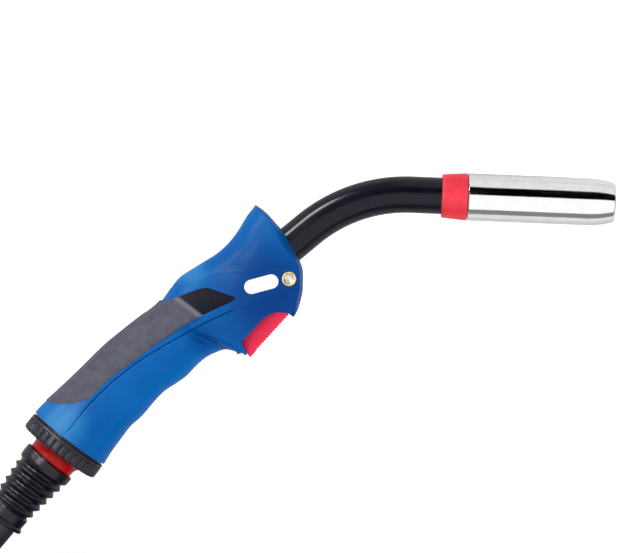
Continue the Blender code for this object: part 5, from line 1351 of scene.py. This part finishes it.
# The lapped end lies on top, stitched down, a little narrower than the band
LAP_WIDTH, LAP_HEIGHT = 0.98 * STRAP_WIDTH, HIGH_LAYER + STRAP_RADIUS + 1.15 * MM
LAP_LINE = [(INNER + (OUTER - INNER) * k / 10 - 2 * MM, LAP_HEIGHT) for k in range(11)]
webbing, *_ = moulded("strap_webbing", (0.012, 0.012, 0.014), (0.03, 0.03, 0.034), 0.85, grain=0.5,
                      relief_height=0.12, cloud=4, gloss=0.2)
for letter, bearing in (("a", 20), ("b", 200)):
    shape = bmesh.new()
    rows = strap_rows(shape, bearing, strap_section(), STRAP_WIDTH)
    join_rows(shape, rows + rows[:1])
    join_rows(shape, strap_rows(shape, bearing, LAP_LINE, LAP_WIDTH))
    bmesh.ops.recalc_face_normals(shape, faces=shape.faces)
    mesh = bpy.data.meshes.new(f"strap_{letter}")
    shape.to_mesh(mesh)
    shape.free()
    strap = linked(f"hook_and_loop_strap_{letter}", mesh)
    walled(strap, 1.1, offset=0)
    softened(strap, 0.25, 2, 50)
    fitted(strap, webbing, "handle", f"coil_strap_{letter}", angle=40)

# ---- Pieces kept as they are -------------------------------------------------------------
# The seat, switch, trigger spring, liner, tip, plug body and their neighbours already have their
# real shape; each gets the finish of what it is made of.

copper, *_ = metal("drawn_copper", (0.78, 0.36, 0.2), (0.88, 0.48, 0.3), 0.3)
ceramic, *_ = moulded("fired_ceramic", (0.62, 0.56, 0.46), (0.74, 0.69, 0.6), 0.7, grain=0.35)
switch_black, *_ = moulded("switch_black", (0.02, 0.02, 0.022), (0.032, 0.032, 0.035), 0.45)
lead_cover, *_ = moulded("lead_cover", (0.016, 0.016, 0.02), (0.03, 0.03, 0.034), 0.55)
liner_steel, *_ = metal("sprung_liner_steel", (0.35, 0.35, 0.37), (0.5, 0.5, 0.52), 0.4)
FINISHES = {
    "ball_seat": collar_black, "microswitch_body": switch_black, "switch_plunger": red_nylon,
    "trigger_pin": zinc_steel, "trigger_spring": zinc_steel, "shell_nut": zinc_steel,
    "plug_screw": zinc_steel, "nozzle_spring_clip": bright_steel, "neck_inner_tube": copper,
    "neck_coupling": plug_brass,
    "contact_tip": copper, "tip_holder": plug_brass, "gas_diffuser": ceramic,
    "hose_ferrule": plug_brass, "wire_liner": liner_steel, "control_lead_a": lead_cover,
    "control_lead_b": lead_cover, "lead_connector": switch_black, "plug_body": plug_brass,
    "gas_seal_ring": sleeve_rubber,
}
for name, finish in FINISHES.items():
    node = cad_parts[name]
    node.data.materials.clear()
    node.data.materials.append(finish)

# ---- Contact springs ---------------------------------------------------------------------
# A coiled steel spring behind each sprung contact, seated in the plug body at its rear end.

WIRE_RADIUS, SPRING_TURNS, CONTACT_TRAVEL = 0.4 * MM, 3, 3 * MM
for number in (1, 2):
    low, high = (Vector(corner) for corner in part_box(f"pin_spring_{number}"))
    coil_radius = (high.x - low.x) / 2 - WIRE_RADIUS
    length = high.y - low.y
    bpy.ops.object.select_all(action="DESELECT")
    bpy.ops.mesh.primitive_circle_add(vertices=14, radius=WIRE_RADIUS)
    spring = bpy.context.object
    spring.name = f"contact_spring_{number}"
    spring.data.transform(Matrix.Translation((coil_radius, 0, 0)) @ Matrix.Rotation(math.radians(90), 4, "X"))
    wound = spring.modifiers.new("wound", "SCREW")
    wound.steps = wound.render_steps = 28
    wound.iterations = SPRING_TURNS
    wound.screw_offset = (length - 2 * WIRE_RADIUS) / SPRING_TURNS
    bpy.ops.object.modifier_apply(modifier=wound.name)
    bpy.ops.object.mode_set(mode="EDIT")
    bpy.ops.mesh.select_all(action="SELECT")
    bpy.ops.mesh.fill_holes(sides=0)
    bpy.ops.mesh.select_all(action="SELECT")
    bpy.ops.mesh.normals_make_consistent(inside=False)
    bpy.ops.object.mode_set(mode="OBJECT")
    seat = Vector(((low.x + high.x) / 2, low.y + WIRE_RADIUS, (low.z + high.z) / 2))
    spring.data.transform(aimed(seat, (0, 1, 0)))
    fitted(spring, zinc_steel, "handle", f"pin_spring_{number}", angle=50)
    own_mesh(spring)
